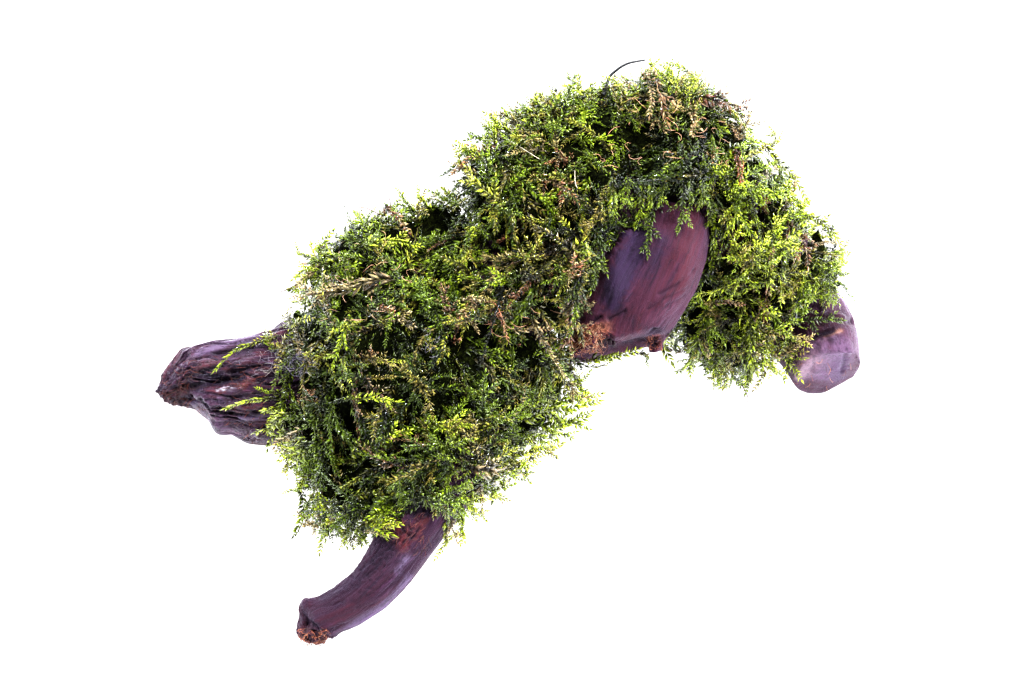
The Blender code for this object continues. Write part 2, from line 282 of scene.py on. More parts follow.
def smooth_line(stations, step=1.5):
    """Points every step along a smooth curve through the stations."""
    stations = np.array(stations, float)
    padded = np.vstack([2 * stations[0] - stations[1], stations, 2 * stations[-1] - stations[-2]])
    made = []
    for before, start, end, after in zip(padded, padded[1:], padded[2:], padded[3:]):
        count = max(1, round(np.linalg.norm(end - start) / step))
        t = (np.arange(count) / count)[:, None]
        made.append(0.5 * (2 * start + (end - before) * t
                           + (2 * before - 5 * start + 4 * end - after) * t**2
                           + (3 * start - before - 3 * end + after) * t**3))
    return np.vstack([*made, stations[-1:]])


def straightened(points, stations):
    """For each point: the way along the limb, and the offset sideways and up from its middle."""
    line = smooth_line(stations)
    nearest = np.full(len(points), np.inf)
    result = np.zeros((len(points), 3))
    travelled = 0.0
    for index, (start, end) in enumerate(zip(line, line[1:])):
        length = np.linalg.norm(end - start)
        tangent = (end - start) / length
        side = np.cross(tangent, (0, 0, 1))
        side /= np.linalg.norm(side)
        up = np.cross(side, tangent)
        low = -np.inf if index == 0 else 0.0
        high = np.inf if index == len(line) - 2 else length
        share = np.clip((points - start) @ tangent, low, high)
        offset = points - start - share[:, None] * tangent
        away = np.linalg.norm(offset, axis=1)
        closer = away < nearest
        found = np.stack([travelled + share, offset @ side, offset @ up], axis=1)
        result[closer] = found[closer]
        nearest[closer] = away[closer]
        travelled += length
    return result


def noise_at(places):
    """Smooth noise from -1 to 1 at each place."""
    return np.array([noise.noise(Vector(place)) for place in places])


def away_from(points, path):
    """How far each point is from a path of straight steps, or from a single place."""
    if len(path) == 1:
        return np.linalg.norm(points - path[0], axis=1)
    away = np.full(len(points), np.inf)
    for start, end in zip(path, path[1:]):
        way = end - start
        share = np.clip((points - start) @ way / (way @ way + 1e-9), 0, 1)
        offset = points - start - share[:, None] * way
        away = np.minimum(away, np.linalg.norm(offset, axis=1))
    return away


def near(points, path, reach):
    """A soft share, 1 on the path and fading with distance."""
    return np.exp(-((away_from(points, path) / reach) ** 2))


# %% [markdown]
# ## The skin of the wood
# The solids are faceted, so each gets a fresh, even skin: a copy is merged, remeshed to small
# even faces and smoothed until its facets are gone. Then its points are pushed in and out.
# Broad noise stretched along the limb makes it swell and sink. Narrow grooves open where a
# second noise crosses zero, which gives long wandering lines as in real grain. Marks that show
# in the picture, such as a slot, a hollow or a knot, are carved along their own short paths.
# How dark each point should be, as painted shade in its grooves, slots and hollows, is kept
# for the finish.

# %% Reshape a limb
def even_skin(node, voxel, rounds):
    """Points, outward normals and triangles of a remeshed and smoothed copy of a solid."""
    bm = bmesh.new()
    bm.from_mesh(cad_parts[node].data)
    bmesh.ops.remove_doubles(bm, verts=bm.verts, dist=1e-6)
    mesh = bpy.data.meshes.new(f"{node}_copy")
    bm.to_mesh(mesh)
    bm.free()
    copy = bpy.data.objects.new(f"{node}_copy", mesh)
    bpy.context.scene.collection.objects.link(copy)
    remesh = copy.modifiers.new("even skin", "REMESH")
    remesh.mode = "VOXEL"
    remesh.voxel_size = voxel * MM
    smooth = copy.modifiers.new("no facets", "SMOOTH")
    smooth.factor = 0.5
    smooth.iterations = rounds
    graph = bpy.context.evaluated_depsgraph_get()
    skin = bpy.data.meshes.new_from_object(copy.evaluated_get(graph))
    bpy.data.objects.remove(copy, do_unlink=True)
    bm = bmesh.new()
    bm.from_mesh(skin)
    bmesh.ops.triangulate(bm, faces=bm.faces)
    bm.normal_update()
    bm.verts.index_update()
    points = np.array([vert.co[:] for vert in bm.verts]) / MM
    normals = np.array([vert.normal[:] for vert in bm.verts])
    triangles = np.array([[vert.index for vert in face.verts] for face in bm.faces])
    bm.free()
    return points, normals, triangles


def carved(points, normals, stations, seed, swell, groove, fine, spacing, marks, grit):
    """The carved points, with how dark each is as painted shade in grooves and pits, and its
    straightened coordinates.
    """
    grain = straightened(points, stations)
    radius = np.hypot(grain[:, 1], grain[:, 2]).mean()
    angle = np.arctan2(grain[:, 2], grain[:, 1])
    around = np.stack([np.cos(angle), np.sin(angle)], axis=1) * radius
    wander = noise_at(np.column_stack([grain[:, 0] / 9, around / 6]) + seed)

    def lengthwise(stretch, gap, shift):
        return noise_at(np.column_stack([
            grain[:, 0] / stretch + shift, around / gap + 0.35 * wander[:, None]
        ]) + seed)

    push = swell * lengthwise(16, 2 * spacing, 0)
    dark = np.zeros(len(points))
    for stretch, gap, depth, shift in ((16, spacing, groove, 3), (9, spacing / 2.2, fine, 7)):
        where = np.clip(2.2 * lengthwise(12, 2.4 * gap, shift + 20) + 0.55, 0, 1)
        cut = where * np.exp(-((lengthwise(stretch, gap, shift) / 0.13) ** 2))
        push -= depth * cut
        dark += min(1.0, depth / 0.75) * cut
    ragged = noise_at(points / 1.1 - seed)
    for places, reach, depth, darkness in marks:
        away = away_from(points, on_wood(*places)) * (1 + (0.45 if reach < 2 else 0.1) * ragged)
        share = np.exp(-((away / reach) ** 2))
        push -= depth * share
        dark += darkness * share
    for place, reach, size in grit:
        share = near(points, on_wood(place), reach)
        push += size * share * (noise_at(points / 0.7 + seed) + 0.6 * ragged)
        dark += 0.5 * share * np.clip(-noise_at(points / 0.7 + seed) * 2, 0, 1)
    moved = points + normals * push[:, None]
    moved[:, 2] = np.maximum(moved[:, 2], 0.0)
    return moved, np.clip(dark, 0, 1), grain


# %% [markdown]
# ## The finish of wet wood
# Soaked driftwood is dark red-brown to violet, paler along its ridges and nearly black in its
# grooves, where the black is painted shade. The recipe reads the straightened coordinates, so the
# streaks follow every bend, and darkens by what the carving left, as painted shade in grooves,
# slots and hollows. Some places have a colour of their own, such as torn fibres, and others get
# painted light, such as the pale sheen of a lip, violet reflections, glints and shaded sides; all
# come as a tint on the mesh. A thin film of water is a weak clear coat on the shader, and a fine
# bump breaks its shine into fibres.

# %% Wood finish
def wet_wood(name, dark, middle, red, pale, rough=0.5, along=0.09, relief=0.9, coat=0.0):
    """A wet wood finish from four of its colours. The higher along, the shorter the streaks."""
    made, tree, shader = new_finish(name, Coat_Weight=coat, Coat_Roughness=0.2)
    shader.inputs["Specular IOR Level"].default_value = 0.34
    shader.inputs["Specular Tint"].default_value = (0.80, 0.62, 0.90, 1.0)
    shader.inputs["Sheen Weight"].default_value = 0.08
    shader.inputs["Sheen Tint"].default_value = (0.72, 0.62, 1.0, 1.0)
    grain = node_of(tree, "ShaderNodeAttribute", attribute_name="grain").outputs["Vector"]
    groove_shade_share = node_of(tree, "ShaderNodeAttribute", attribute_name="dark").outputs["Fac"]
    tint_and_painted_light = node_of(tree, "ShaderNodeAttribute", attribute_name="tint_and_painted_light")
    place = node_of(tree, "ShaderNodeTexCoord").outputs["Object"]

    def stretched(along, across, detail, rough=0.65, warp=0.4):
        laid = node_of(tree, "ShaderNodeMapping", {
            "Vector": grain, "Scale": (along, across, across),
        })
        return node_of(tree, "ShaderNodeTexNoise", {
            "Vector": laid.outputs["Vector"], "Scale": 1.0, "Detail": detail,
            "Roughness": rough, "Distortion": warp,
        }).outputs["Fac"]

    streaks = stretched(along, 1.3, 8.0, 0.72)
    bands = stretched(0.6 * along, 0.35, 3.0)
    colour = ramp_of(tree, streaks, ((0.36, dark), (0.47, middle), (0.55, middle), (0.68, pale)))
    reddish = ramp_of(tree, bands, ((0.48, 0.0), (0.60, 0.75)))
    colour = blend_of(tree, reddish, colour, blend_of(tree, 1.0, (*red, 1.0), ramp_of(
        tree, streaks, ((0.36, 0.25), (0.62, 1.0))), "MULTIPLY"))
    clouds = node_of(tree, "ShaderNodeTexNoise", {
        "Vector": place, "Scale": 330.0, "Detail": 6.0, "Roughness": 0.75, "Distortion": 0.6,
    }).outputs["Fac"]
    broken = node_of(tree, "ShaderNodeMath", {0: clouds, 1: 1.7, 2: tint_and_painted_light.outputs["Alpha"]},
                     operation="MULTIPLY_ADD").outputs["Value"]
    share = ramp_of(tree, node_of(tree, "ShaderNodeMath", {0: broken, 1: 0.5},
                                  operation="MULTIPLY").outputs["Value"],
                    ((0.55, 0.0), (0.80, 0.92)))
    variation = ramp_of(tree, streaks, ((0.36, 0.30), (0.52, 0.80), (0.66, 1.0)))
    tint_and_light_colour = blend_of(tree, 1.0, tint_and_painted_light.outputs["Color"], variation, "MULTIPLY")
    colour = blend_of(tree, share, colour, tint_and_light_colour)
    # Grooves, slots and hollows turn nearly black here: painted shade.
    painted_groove_shade = ramp_of(tree, groove_shade_share, ((0.10, 0.0), (0.80, 0.95)))
    colour = blend_of(tree, painted_groove_shade, colour, (0.005, 0.002, 0.003, 1.0))
    tree.links.new(colour, shader.inputs["Base Color"])
    shine = ramp_of(tree, streaks, ((0.35, rough - 0.14), (0.65, rough + 0.16)))
    tree.links.new(shine, shader.inputs["Roughness"])
    coarse = node_of(tree, "ShaderNodeBump", {
        "Height": streaks, "Strength": 0.8, "Distance": relief * MM,
    })
    fine = node_of(tree, "ShaderNodeBump", {
        "Height": stretched(0.5, 4.0, 6.0, 0.7), "Strength": 0.7, "Distance": 0.3 * MM,
        "Normal": coarse.outputs["Normal"],
    })
    tree.links.new(fine.outputs["Normal"], shader.inputs["Normal"])
    return made


LEFT_WOOD = wet_wood("left_limb_wet_wood", (0.004, 0.0015, 0.002), (0.021, 0.005, 0.011),
                     (0.075, 0.014, 0.010), (0.090, 0.036, 0.075), 0.34, coat=0.14)
LEG_WOOD = wet_wood("leg_wet_wood", (0.005, 0.001, 0.003), (0.022, 0.006, 0.012),
                    (0.044, 0.008, 0.010), (0.062, 0.026, 0.052), 0.66, relief=1.0)
STUB_WOOD = wet_wood("stub_wet_wood", (0.011, 0.003, 0.005), (0.040, 0.010, 0.017),
                     (0.066, 0.013, 0.014), (0.074, 0.025, 0.040), 0.62, relief=0.5)
RIGHT_WOOD = wet_wood("right_limb_wet_wood", (0.014, 0.004, 0.007), (0.040, 0.013, 0.021),
                      (0.054, 0.012, 0.013), (0.085, 0.038, 0.060), 0.58, 0.4, 0.5, 0.03)
TRUNK_WOOD = wet_wood("trunk_dark_wood", (0.004, 0.001, 0.002), (0.022, 0.006, 0.009),
                      (0.034, 0.007, 0.008), (0.036, 0.013, 0.020), 0.75, relief=0.5)

# %% [markdown]
# ## The five stretches of wood
# Each stretch is carved to what shows of it. The left limb is split by deep furrows and two
# black slots above a smooth lip. The leg is smooth, with two small bumps, a knob and a grainy
# end. The stub is smooth with faint streaks, and its torn end has hollows. The right end has a
# ledge with a knot in it and a broken face. The trunk is hidden by moss, so it is left coarse.
# Each piece stands for the solid that it was made from.

# %% Marks and tints of the wood
# Each mark: places in the picture that it runs through, half width, depth in mm (a bump has a
# negative depth) and darkness, which is painted shade where the mark is a groove, slot or hollow.
# Each tint: such places, reach in mm, colour and strength. Some tints are the wood's own colour,
# others painted light: sheen, reflections, glints and shade.
# Each grain of grit: its place, reach and size in mm.
LEFT_MARKS = (
    (((176, 391), (200, 385), (225, 379), (241, 375)), 0.8, 1.8, 1.3),
    (((230, 371), (245, 367), (257, 364)), 0.8, 1.6, 1.2),
    (((170, 402), (200, 401), (235, 398), (268, 392)), 0.6, 1.0, 0.7),
    (((184, 412), (215, 409), (250, 405)), 0.5, 0.9, 0.7),
    (((192, 361), (215, 353), (252, 346)), 0.5, 0.8, 0.7),
    (((204, 421), (235, 416), (264, 412)), 0.5, 0.8, 0.8),
    (((200, 372), (222, 365), (240, 358)), 0.5, 0.7, 0.6),
    (((176, 408), (198, 417), (222, 429)), 2.4, -1.7, 0.0), (((257, 445),), 1.5, -1.7, 0.2),
    (((243, 441),), 1.2, 0.9, 0.1), (((162, 378), (170, 364), (182, 353)), 2.2, 1.3, 0.2),
    (((190, 351),), 0.8, -0.9, 0.0),
)
LEFT_TINTS_AND_PAINTED_LIGHT = (
    # Painted light: a violet reflection along the top strip, then a lilac highlight and a bluish
    # glint.
    (((200, 353), (222, 345), (262, 336)), 1.8, (0.110, 0.070, 0.115), 0.80),
    (((194, 402), (222, 399)), 1.3, (0.085, 0.058, 0.105), 0.55),
    (((240, 420), (262, 416)), 1.5, (0.120, 0.090, 0.160), 0.60),
    # The three reddish ones are the wood's own colour.
    (((238, 385), (254, 380)), 1.3, (0.150, 0.034, 0.018), 0.70),
    (((218, 412), (234, 408)), 1.1, (0.140, 0.028, 0.016), 0.65),
    (((184, 373), (200, 368)), 1.2, (0.100, 0.022, 0.016), 0.65),
    # Painted sheen: the pale wet shine of the lower lip.
    (((210, 426), (232, 433), (252, 442)), 1.8, (0.120, 0.062, 0.110), 0.80),
)
LEG_MARKS = (
    (((354, 563),), 0.8, -0.9, 0.9), (((350, 571),), 0.7, -0.8, 0.9),
    (((379, 526),), 1.5, -0.9, 0.5),
    (((306, 604),), 1.7, -1.6, 0.0), (((301, 614), (304, 624)), 1.5, 1.6, 0.2), (((309, 622), (316, 628)), 0.6, 0.9, 0.9),
    (((320, 640),), 0.6, 0.7, 0.9), (((309, 640),), 0.6, 0.7, 0.9),
    (((398, 518), (404, 532)), 0.5, 0.6, 0.7), (((412, 538), (420, 528)), 0.4, 0.5, 0.7),
    # A shallow groove along the top of the leg, its darkness a painted shadow of the moss above.
    (((395, 512), (412, 508), (426, 512)), 1.2, 0.3, 1.0),
)
LEG_TINTS_AND_PAINTED_LIGHT = (
    (((372, 562), (350, 586), (318, 603)), 3.2, (0.046, 0.011, 0.016), 0.85),
    # Painted shade: a nearly black band down the leg's upper left side.
    (((392, 532), (376, 556), (352, 582), (325, 596)), 3.2, (0.014, 0.004, 0.007), 0.95),
    # Painted sheen: lavender light along the lower right, as from the bright floor.
    (((408, 580), (385, 606), (352, 627)), 2.0, (0.110, 0.070, 0.125), 0.75),
    (((406, 560), (398, 572)), 1.4, (0.130, 0.095, 0.150), 0.55),
    (((303, 602), (308, 601)), 0.9, (0.200, 0.050, 0.035), 0.80),
    (((306, 636), (322, 642)), 2.8, (0.085, 0.036, 0.034), 0.90),
    (((398, 525), (404, 545)), 1.5, (0.110, 0.020, 0.014), 0.75),
    (((415, 535), (424, 518)), 1.5, (0.085, 0.020, 0.014), 0.75),
)
STUB_MARKS = (
    (((660, 294), (676, 285), (694, 270)), 0.45, 0.35, 0.45),
    (((648, 309), (668, 297), (688, 287)), 0.40, 0.30, 0.40),
    (((666, 306), (684, 296)), 0.40, 0.30, 0.40), (((630, 214), (618, 232)), 0.5, 0.3, 0.6),
    (((586, 327), (600, 317)), 0.45, 0.7, 0.7), (((609, 319), (624, 311)), 0.45, 0.5, 0.6),
    (((622, 238), (617, 262), (616, 285)), 2.8, -2.4, 0.0),
    (((604, 354), (622, 349), (638, 344)), 2.4, 1.6, 0.1), (((655, 331),), 0.9, 0.9, 1.0),
    (((597, 347), (603, 340), (609, 344)), 1.2, 1.7, 1.1), (((655, 344),), 0.8, 1.2, 1.0),
    (((580, 345),), 0.8, 0.9, 0.7), (((588, 338),), 0.5, 0.7, 0.7),
    (((640, 232), (616, 288), (600, 316)), 0.35, 0.14, 0.15),
    (((665, 240), (645, 290), (632, 322)), 0.35, 0.14, 0.25),
    (((690, 232), (676, 272)), 0.30, 0.18, 0.35), (((665, 215), (655, 250)), 0.3, 0.16, 0.3),
)
STUB_TINTS_AND_PAINTED_LIGHT = (
    # Painted reflection: the bluish band down the stub's left side.
    (((640, 236), (630, 262), (612, 300)), 3.6, (0.022, 0.012, 0.032), 0.95),
    (((664, 240), (652, 270)), 2.0, (0.030, 0.014, 0.030), 0.70),
    (((694, 212), (692, 245), (684, 285)), 2.6, (0.062, 0.012, 0.014), 0.85),
    (((622, 212), (608, 245), (590, 300)), 1.5, (0.075, 0.018, 0.024), 0.75),
    (((655, 322), (668, 308)), 2.4, (0.080, 0.026, 0.040), 0.75),
    # Painted shade: a nearly black band along the lower edge of the torn end.
    (((600, 353), (628, 345), (656, 334)), 3.0, (0.014, 0.004, 0.008), 0.95),
    (((574, 340), (588, 330), (606, 328)), 1.7, (0.210, 0.085, 0.050), 0.85),
    # Painted shade in a hollow of the torn end.
    (((597, 347), (612, 342)), 1.2, (0.030, 0.010, 0.014), 0.85),
    (((650, 338), (658, 336)), 0.8, (0.180, 0.060, 0.040), 0.80),
)
RIGHT_MARKS = (
    (((812, 337), (832, 330), (854, 321)), 0.8, 1.3, 0.9), (((832, 340),), 0.9, -0.9, 0.6),
    (((818, 345), (812, 370)), 0.7, 0.5, 0.3), (((846, 350), (842, 372)), 0.6, 0.4, 0.3),
    (((816, 318), (850, 306)), 0.9, -0.7, 0.0),
)
RIGHT_TINTS = (
    (((818, 352), (822, 372), (842, 350)), 4.2, (0.110, 0.062, 0.105), 0.90),
    (((814, 326), (832, 320), (851, 310)), 3.6, (0.030, 0.007, 0.007), 1.00),
    (((836, 290), (848, 301)), 1.3, (0.150, 0.095, 0.180), 0.85),
    (((826, 334), (841, 330)), 0.6, (0.260, 0.130, 0.080), 0.85),
    (((800, 374), (812, 362)), 2.6, (0.230, 0.150, 0.175), 0.85),
    (((842, 362), (838, 380)), 2.2, (0.060, 0.028, 0.065), 0.80),
)
LEG_GRIT = (((308, 638), 3.4, 0.9), ((322, 642), 3.0, 0.8), ((404, 532), 2.4, 0.5),
            ((352, 584), 5.5, 0.22), ((380, 560), 5.5, 0.26), ((394, 540), 3.5, 0.35))
STUB_GRIT = (((578, 342), 3.0, 1.0), ((598, 340), 3.2, 1.1), ((655, 341), 1.6, 0.7),
             ((612, 346), 2.0, 0.8))
LEFT_GRIT = (((166, 402), 5.0, 0.9), ((182, 372), 4.0, 0.6), ((250, 440), 3.0, 0.6),
             ((205, 420), 3.0, 0.5))

# %% Make the wood pieces
SKINS = {
    "left_limb": dict(line=MAIN_LINE, voxel=0.27, rounds=44, seed=3.1, swell=0.7, groove=0.85,
                      fine=0.5, spacing=1.9, finish=LEFT_WOOD, marks=LEFT_MARKS,
                      tints_and_painted_light=LEFT_TINTS_AND_PAINTED_LIGHT, grit=LEFT_GRIT),
    "trunk": dict(line=MAIN_LINE, voxel=0.6, rounds=10, seed=3.1, swell=0.6, groove=0.5,
                  fine=0.2, spacing=4.0, finish=TRUNK_WOOD),
    "right_limb": dict(line=MAIN_LINE, voxel=0.42, rounds=26, seed=8.3, swell=0.25, groove=0.0,
                       fine=0.0, spacing=2.4, finish=RIGHT_WOOD, marks=RIGHT_MARKS,
                       tints_and_painted_light=RIGHT_TINTS),
    "front_leg": dict(line=LEG_LINE, voxel=0.32, rounds=34, seed=5.7, swell=0.3, groove=0.28,
                      fine=0.22, spacing=1.8, finish=LEG_WOOD, marks=LEG_MARKS,
                      tints_and_painted_light=LEG_TINTS_AND_PAINTED_LIGHT, grit=LEG_GRIT),
    "stub": dict(line=STUB_LINE, voxel=0.3, rounds=24, seed=1.9, swell=0.2, groove=0.12,
                 fine=0.10, spacing=1.8, finish=STUB_WOOD, marks=STUB_MARKS,
                 tints_and_painted_light=STUB_TINTS_AND_PAINTED_LIGHT, grit=STUB_GRIT),
}


def wood_piece(node, line, voxel, rounds, seed, swell, groove, fine, spacing, finish,
               marks=(), tints_and_painted_light=(), grit=()):
    points, normals, triangles = even_skin(node, voxel, rounds)
    moved, dark, grain = carved(points, normals, line, seed, swell, groove, fine, spacing,
                                marks, grit)
    colour = np.zeros((len(points), 4))
    # Tints lay the wood's own colours and painted light (sheen, reflections, glints, shade) onto the
    # skin.
    for places, reach, tint_and_light_colour, strength in tints_and_painted_light:
        share = strength * near(points, on_wood(*places), reach)[:, None]
        colour = colour * (1 - share) + np.array([*tint_and_light_colour, 1.0]) * share
    colour[:, :3] /= colour[:, 3:] + 1e-6
    piece = piece_from(f"{node}_wood", moved, triangles, finish)
    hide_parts(node)
    mesh = piece.data
    mesh.shade_smooth()
    for name, kind, field, values in (
        ("dark", "FLOAT", "value", dark),
        ("grain", "FLOAT_VECTOR", "vector", grain),
        ("tint_and_painted_light", "FLOAT_COLOR", "color", colour),
    ):
        layer = mesh.attributes.new(name, kind, "POINT")
        layer.data.foreach_set(field, values.astype(np.float32).ravel())


for node, recipe in SKINS.items():
    wood_piece(node, **recipe)

# %% [markdown]
# ## The edge of the moss
# In the picture the moss ends along one wandering line, and the bare stub lies within it. Both
# lines are given as places in the picture. They decide later which fronds are kept, so that the
# wood stays bare where it is bare and the outline holds.

# %% Lines round the moss and the stub
MOSS_EDGE = (
    # places in the picture, once round
    (266, 352), (272, 334), (286, 318), (293, 298), (294, 276), (306, 252), (328, 230),
    (366, 210), (398, 197), (432, 196), (454, 186), (453, 150), (472, 122), (500, 106),
    (540, 95), (566, 88), (604, 82), (642, 70), (668, 64), (702, 74), (732, 98), (744, 116),
    (756, 138), (768, 158), (784, 182), (806, 206), (830, 226), (846, 246), (850, 268),
    (848, 294), (836, 306), (822, 312), (812, 335), (800, 360), (784, 378), (764, 374), (748, 386),
    (718, 378), (690, 362), (668, 342), (674, 318), (694, 296), (706, 268), (713, 240),
    (716, 208), (690, 206), (655, 204), (622, 206), (606, 240), (592, 270), (576, 308),
    (569, 345), (574, 362), (588, 378), (570, 402), (542, 428), (518, 452), (498, 476),
    (484, 498), (462, 520), (448, 544), (434, 546), (428, 516), (400, 514), (386, 536),
    (360, 544), (320, 540), (303, 516), (294, 488), (292, 466), (279, 446), (268, 425),
    (270, 385),
)
STUB_EDGE = (
    (620, 208), (607, 240), (593, 272), (578, 310), (569, 348), (610, 353), (645, 344),
    (665, 322), (700, 288), (710, 245), (712, 212), (668, 204),
)


def inside(edge, point):
    """Whether a point lies within a closed line of the picture."""
    x, y = picture_of(point)
    crossings = 0
    for (ax, ay), (bx, by) in zip(edge, edge[1:] + edge[:1]):
        if (ay > y) != (by > y) and x < ax + (y - ay) / (by - ay) * (bx - ax):
            crossings += 1
    return crossings % 2 == 1


# %% [markdown]
# ## The mat under the fronds
# Under the green fronds, moss is a tangle of old stems deep in shade; the mat's nearly black
# colour is painted shade, partly the dark old stems. Without it one would look straight through
# the fronds. Each moss solid is copied, smoothed, drawn in by a few millimetres and roughened,
# and the fronds grow out of this mat. It never sinks into the wood, except round the bare stub,
# where it is put back. In some places the moss opens into a dark hollow: there the mat lies
# deeper, and only few fronds grow, darkened as painted shade.

# %% Finish and shape of the mat
def mat_finish():
    made, tree, shader = new_finish("dark_moss_mat", Roughness=0.9)
    shader.inputs["Specular IOR Level"].default_value = 0.05
    place = node_of(tree, "ShaderNodeTexCoord").outputs["Object"]
    tangle = node_of(tree, "ShaderNodeTexNoise", {
        "Vector": place, "Scale": 900.0, "Detail": 6.0, "Roughness": 0.7, "Distortion": 1.5,
    })
    # Near black: painted shade of the moss's depths, partly its dark old stems.
    colour = ramp_of(tree, tangle.outputs["Fac"], (
        (0.40, (0.0010, 0.0012, 0.0003)), (0.56, (0.0070, 0.0090, 0.0015)),
        (0.70, (0.0350, 0.0430, 0.0060)),
    ))
    tree.links.new(colour, shader.inputs["Base Color"])
    bump = node_of(tree, "ShaderNodeBump", {
        "Height": tangle.outputs["Fac"], "Strength": 1.0, "Distance": 0.8 * MM,
    })
    tree.links.new(bump.outputs["Normal"], shader.inputs["Normal"])
    return made


MAT_DEPTH = 2.6
MAT_VOXEL = 1.1
HOLLOWS = (
    # picture place, reach in mm
    (340, 266, 3.2), (546, 214, 3.4), (391, 352, 5.0), (347, 418, 3.6),
    (464, 405, 2.6), (406, 462, 3.6), (373, 482, 2.6), (640, 150, 4.6), (592, 232, 3.0),
    (500, 285, 2.4), (760, 215, 2.2), (735, 300, 2.2), (430, 330, 2.2), (700, 150, 3.0),
)
hollows = [(path_over([(px, py)], [0]), reach) for px, py, reach in HOLLOWS]


def hollow_at(points):
    """How much each point lies in one of the dark hollows, from 0 to 1."""
    return np.max([near(points, place, reach) for place, reach in hollows], axis=0)


def mat_shape(node, seed):
    """The mat's closed skin: the solid smoothed, drawn in, roughened and closed again."""
    points, normals, triangles = even_skin(node, MAT_VOXEL, 12)
    rough = noise_at(points / 3.5 + seed) + 0.5 * noise_at(points / 1.4 - seed)
    room = np.array([wood_tree.find_nearest(Vector(point))[3] for point in points])
    stub = np.array([stub_tree.find_nearest(Vector(point))[3] < 7 for point in points])
    beyond = np.array([not inside(MOSS_EDGE, point) for point in points])
    over = stub & np.array([inside(STUB_EDGE, point) for point in points])
    depth = MAT_DEPTH + 0.9 * rough + 2.6 * hollow_at(points) + 3.0 * beyond
    depth = np.where(over, 0, np.minimum(depth, np.maximum(room - 0.6, 0)))
    drawn_in = points - normals * depth[:, None]
    drawn_in += over[:, None] * 9.0 * np.array((AIM - EYE).normalized())
    drawn_in[:, 2] = np.maximum(drawn_in[:, 2], 1.0)
    mesh = bpy.data.meshes.new(f"{node}_mat")
    mesh.from_pydata([tuple(point) for point in drawn_in * MM], [], triangles.tolist())
    copy = bpy.data.objects.new(f"{node}_mat", mesh)
    bpy.context.scene.collection.objects.link(copy)
    remesh = copy.modifiers.new("closed", "REMESH")
    remesh.mode = "VOXEL"
    remesh.voxel_size = MAT_VOXEL * MM
    graph = bpy.context.evaluated_depsgraph_get()
    skin = bpy.data.meshes.new_from_object(copy.evaluated_get(graph))
    bpy.data.objects.remove(copy, do_unlink=True)
    bm = bmesh.new()
    bm.from_mesh(skin)
    bmesh.ops.smooth_vert(bm, verts=bm.verts, factor=0.5, use_axis_x=True, use_axis_y=True,
                          use_axis_z=True)
    points, triangles = arrays_of(bm)
    return points / MM, triangles


MAT = mat_finish()
mats = {}
for number, node in enumerate(MOSS):
    points, triangles = mat_shape(node, 2.0 * number)
    mats[node] = (points, triangles)
    piece = piece_from(f"{node}_mat", points, triangles, MAT)
    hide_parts(node)
    piece.data.shade_smooth()

# %% [markdown]
# ## One leaf and one stem
# A java moss leaf is about 2 mm long, pointed and slightly folded. Four points wrapped in a
# convex hull make a closed leaf of only four triangles, folded along its middle, which keeps
# hundreds of thousands of them affordable. A stem is a three-sided rod, cut across its length
# so that it can bend.

# %% Leaf and stem shapes
def leaf_shape():
    bm = bmesh.new()
    for place in ((0, 0, 0), (-0.18, 0.38, 0.06), (0.18, 0.38, 0.06), (0, 1, 0.02)):
        bm.verts.new(place)
    bmesh.ops.convex_hull(bm, input=bm.verts)
    return arrays_of(bm)


def stem_shape(cuts):
    """A rod along Y from 0 to 1, of radius 1, thinner at its end."""
    bm = bmesh.new()
    lay = Matrix.Rotation(math.radians(-90), 4, "X") @ Matrix.Translation((0, 0, 0.5))
    bmesh.ops.create_cone(bm, cap_ends=True, segments=3, radius1=1, radius2=0.45, depth=1,
                          matrix=lay)
    long_edges = [edge for edge in bm.edges if abs(edge.verts[0].co.y - edge.verts[1].co.y) > 0.5]
    if cuts:
        bmesh.ops.subdivide_edges(bm, edges=long_edges, cuts=cuts)
    return arrays_of(bm)


LEAF = leaf_shape()
TWIG = stem_shape(0)
STEM = stem_shape(5)
THREAD = stem_shape(15)
print("leaf", len(LEAF[1]), "twig", len(TWIG[1]), "stem", len(STEM[1]), "triangles")

# %% [markdown]
# ## A frond
# Each frond is a loose feather: a main stem, side twigs to left and right in turn, and pairs of
# leaves all along both. It is made flat and straight along Y, and bent later. Eleven fronds of
# different length, breadth and fullness are enough, because each use is turned, bent, scaled
# and coloured in its own way.

# %% Build the set of fronds
def repeated(shape, places, headings, lifts, rolls, sizes):
    """Copies of a shape, each turned, scaled in X, Y and Z and moved. Also gives copy numbers."""
    points, triangles = shape
    count = len(places)
    ch, sh = np.cos(headings), np.sin(headings)
    cl, sl = np.cos(lifts), np.sin(lifts)
    cr, sr = np.cos(rolls), np.sin(rolls)
    turn = np.empty((count, 3, 3))
    turn[:, 0] = np.stack([ch * cr + sh * sl * sr, sh * cl, ch * sr - sh * sl * cr], axis=1)
    turn[:, 1] = np.stack([-sh * cr + ch * sl * sr, ch * cl, -sh * sr - ch * sl * cr], axis=1)
    turn[:, 2] = np.stack([-cl * sr, sl, cl * cr], axis=1)
    scaled = points[None] * sizes[:, None]
    moved = np.einsum("nij,nkj->nki", turn, scaled) + places[:, None]
    offsets = (np.arange(count) * len(points))[:, None, None]
    copies = np.repeat(np.arange(count), len(points))
    return moved.reshape(-1, 3), (triangles[None] + offsets).reshape(-1, 3), copies


